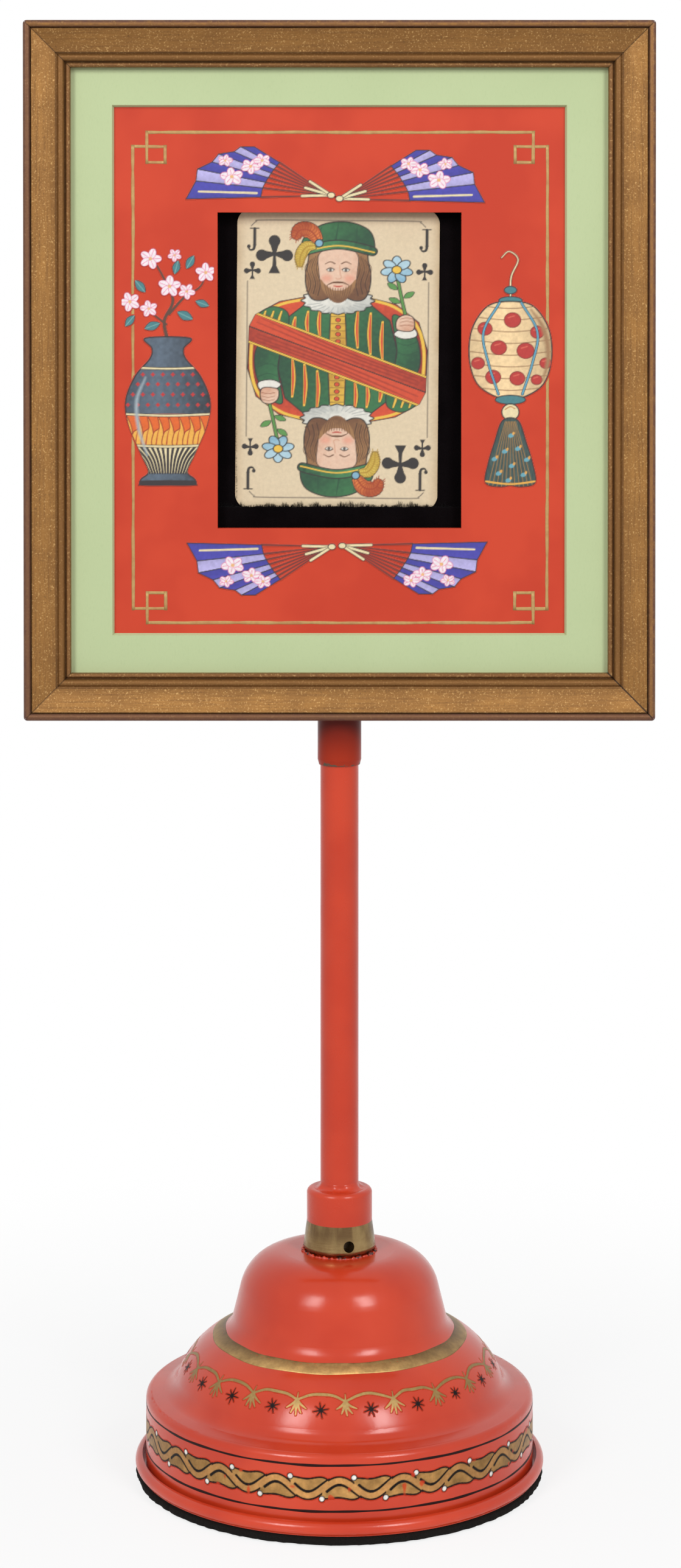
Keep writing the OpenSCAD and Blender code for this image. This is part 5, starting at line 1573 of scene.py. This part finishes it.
def court_head(coat):
    """A calm, plain face with beard and long hair over a ruff, and a feathered cap."""
    turn = np.linspace(0, 2 * np.pi, 96, endpoint=False)
    wave = 1 + 0.055 * np.cos(16 * turn)
    ruff = np.stack([8.4 * wave * np.cos(turn), 19.6 + 3.3 * wave * np.sin(turn)], 1)
    fill(coat, ruff, toned(LINEN, LINEN_SHADE, (-1, 20), (0.4, -1), 5.5), bent=False, edge=CARD_INK)
    for lean in np.linspace(200, 340, 11):
        way = aim(lean) * (1, 0.42)
        stroke(coat, [(0, 19.6) + way * 4.4, (0, 19.6) + way * 7.8], 0.22, LINEN_SHADE)
    hair = [(-5.4, 33), (-7.3, 29), (-7.8, 24.4), (-6.6, 20.4), (-4, 19.6), (0, 21), (4, 19.6), (6.6, 20.4),
            (7.8, 24.4), (7.3, 29), (5.4, 33)]
    fill(coat, hair, toned(HAIR_LIT, HAIR, (-3, 31), (0.4, -1), 12), edge=CARD_INK)
    for k in range(6):
        for side in (-1, 1):
            x = side * (4.5 + 0.55 * k)
            lock = [(x * 0.96, 31.5 - 0.4 * k), (x + side * 0.7, 27.6), (x - side * 0.2, 24),
                    (x + side * 0.3, 20.9 + 0.2 * k)]
            stroke(coat, lock, 0.3, HAIR if k % 2 else HAIR_DARK, (0.5, 0.8))
    face = [(-4.4, 31.5), (-4.6, 27), (-3.8, 23), (-1.6, 20.5), (0, 20), (1.6, 20.5), (3.8, 23), (4.6, 27),
            (4.4, 31.5), (0, 33)]
    fill(coat, face, toned(SKIN, SKIN_SHADE, (1.6, 28), (1, -0.35), 7.0), edge=CARD_INK, edge_w=0.16)
    for x in (-2.7, 2.7):
        disc(coat, (x, 25.2), (1.2, 0.9), CHEEK, soft=1.2)
    beard = [(-4.3, 25), (-3.7, 22.4), (-1.7, 19.7), (0, 19), (1.7, 19.7), (3.7, 22.4), (4.3, 25), (3, 23.6),
             (1.4, 22.4), (0, 22.2), (-1.4, 22.4), (-3, 23.6)]
    fill(coat, beard, toned(HAIR_LIT, HAIR, (0, 23), (0.2, -1), 4.5))
    for k in np.linspace(-3.2, 3.2, 11):
        stroke(coat, [(k, 22.6 + 0.1 * k * k), (k * 0.8, 21), (k * 0.55, 19.7)], 0.18, HAIR)
    for side in (-1, 1):
        stroke(coat, [(side * 0.15, 24.2), (side * 1.3, 24.1), (side * 2.6, 23.5)], 0.62, HAIR, (0.9, 0.3))
        disc(coat, (side * 1.85, 27.3), (0.82, 0.4), LINEN, edge=EYE_EDGE, edge_w=0.14)
        disc(coat, (side * 1.85, 27.3), 0.36, PUPIL)
        stroke(coat, [(side * 0.9, 27.45), (side * 1.85, 27.85), (side * 2.8, 27.4)], 0.2, CARD_INK)
        stroke(coat, [(side * 0.8, 28.9), (side * 1.9, 29.35), (side * 3.1, 28.8)], 0.36, HAIR, (0.9, 0.5))
    stroke(coat, [(0.35, 28.4), (0.5, 26.4), (0.75, 25.4), (0.0, 25.0), (-0.6, 25.25)], 0.2, SKIN_SHADE)
    stroke(coat, [(-1.0, 23.3), (0, 23.15), (1.0, 23.3)], 0.5, LIPS, (0.5, 0.5), 0.4)
    cap = [(-7.6, 32.2), (-8.4, 35), (-4, 38.6), (2, 39.4), (7, 37.6), (8.6, 34.4), (7.6, 32.2), (0, 33.8)]
    fill(coat, cap, toned(*GREENS, (-4, 38), (0.8, -1), 9), edge=CARD_INK)
    for a, b in (((-4, 38), (-5.4, 34)), ((0, 39), (-0.6, 35)), ((4.4, 38.2), (4.4, 34.6))):
        stroke(coat, [a, b], 0.4, CLOTH_GREEN_DARK, (0.3, 1.0))
    brim = [(-8.4, 31), (-4, 32), (0, 32.6), (4, 32), (8.4, 31), (9, 32.8), (4.4, 34.2), (0, 34.8),
            (-4.4, 34.2), (-9, 32.8)]
    fill(coat, brim, toned(BRIM_LIT, CLOTH_GREEN_DARK, (-5, 33), (1, -0.1), 14), edge=CARD_INK)
    stroke(coat, [(-8.6, 31.8), (0, 33.4), (8.6, 31.8)], 0.34, BRAID)
    plume(coat, [(-5.4, 33.4), (-7.6, 33), (-9, 30.8), (-9.2, 28)], 1.5, PLUME_GOLD, PLUME_GOLD_DARK)
    plume(coat, [(-4.6, 34.4), (-6.6, 37), (-9.2, 37.2), (-10.6, 35)], 2.0, PLUME_RED, PLUME_RED_DARK)
    disc(coat, (-4.6, 34), 0.95, FLOWER, edge=CARD_INK)


def court_sash(coat):
    """A red sash with a braided edge across the cloak, which hides the join of the two halves."""
    sash = np.array([(-23, 10.35), (23, -10.35), (24.8, -6.4), (-21.2, 14.3)])
    stencil(coat, CLOAK, bent=False)
    fill(coat, sash, toned(*REDS, (-4, 4), (1, 0.5), 26), bent=False, edge=CARD_INK)
    for shift in (0.9, 2.1, 3.1):
        crease = [(-21 + shift, 10.3 + shift), (0, 0.3 + shift), (20, -8.6 + shift)]
        stroke(coat, crease, 0.55, CLOTH_RED_DARK, (0.2, 0.4), 0.4, 0.5)
    layered(coat, sash[2:], ((0.75, CARD_INK), (0.5, BRAID)))
    stroke(coat, sash[:2], 0.3, CARD_INK)


def court_figure(coat):
    """A half figure in cap, ruff and cloak, drawn upright for the upper half of the card. Body and head are
    drawn in coordinates of their own, stretched over the card."""
    body = {**coat, "u": coat["u"] / BODY_WIDE, "v": coat["v"] / BODY_TALL}
    court_body(body)
    court_head({**coat, "u": coat["u"] / HEAD_WIDE, "v": CHIN + (coat["v"] - CHIN_ON_CARD) / HEAD_TALL})
    court_sash(body)


u, v = card_sheet()
coat = coat_for(u, v)
inside = np.minimum(CARD_W / 2 - np.abs(coat["u"]), CARD_H / 2 - np.abs(coat["v"]))
browned = np.clip(1 - inside / 3.4, 0, 1) ** 1.6 * (0.5 + 0.5 * mottle(coat["u"], coat["v"], 5.0, 82))
stained = mottle(coat["u"], coat["v"], 6.0, 83) * mottle(coat["u"], coat["v"], 17.0, 84)
browned = np.clip(browned + 0.14 * stained, 0, 1)
rag = np.asarray(RAG) + browned[:, None] * (np.asarray(RAG_BROWN) - RAG)
lay(coat, EVERYWHERE, np.ones(coat["u"].size), rag)
turned_round = coat["v"] < SASH_SLOPE * coat["u"]
coat["u"] = np.where(turned_round, -coat["u"], coat["u"])
coat["v"] = np.where(turned_round, -coat["v"], coat["v"])
for x in (-SIDE_X, SIDE_X):
    stroke(coat, [(x, 22.6), (x, -22.6)], 0.28, LINE_INK)
half_line = [(0, TOP_Z), (SIDE_X - 4.6, TOP_Z), (SIDE_X - 2.4, TOP_Z - 0.45), (SIDE_X - 1.0, TOP_Z - 1.7)]
for side in (-1, 1):
    stroke(coat, np.array(half_line) * (side, 1), 0.28, LINE_INK)
court_figure(coat)
club(coat, (-18.6, 30.6), 11.4)
for x in (-25.0, 25.2):
    index_letter(coat, (x, 34.8), 6.7)
    club(coat, (x, 25.8), 5.2)
card_mid = ((card_low + card_high) / 2) / MM
lean_x = card_mid.x + u * math.cos(CARD_LEAN) + v * math.sin(CARD_LEAN)
lean_z = card_mid.z - u * math.sin(CARD_LEAN) + v * math.cos(CARD_LEAN)
card_finish = painted("printed rag card", (*RAG, 1), (*RAG, 1), 0.55, wear=(0.92, 1.05))
print_film = flat_film("card_print", lean_x, lean_z, card_low.y / MM, "frame", card_finish)
put_paint(print_film, coat)

dress(grained("rag card", (0.62, 0.49, 0.31, 1), (*RAG, 1), 0.8, 4.0, Roughness=0.6), "playing_card")


# Back board
# Brown hardboard that closes the back of the frame. Four brass turn buttons on round-headed screws hold it in
# the rebate, so that the card can be changed.
dress(board_finish, "back_board")


bpy.context.view_layer.update()
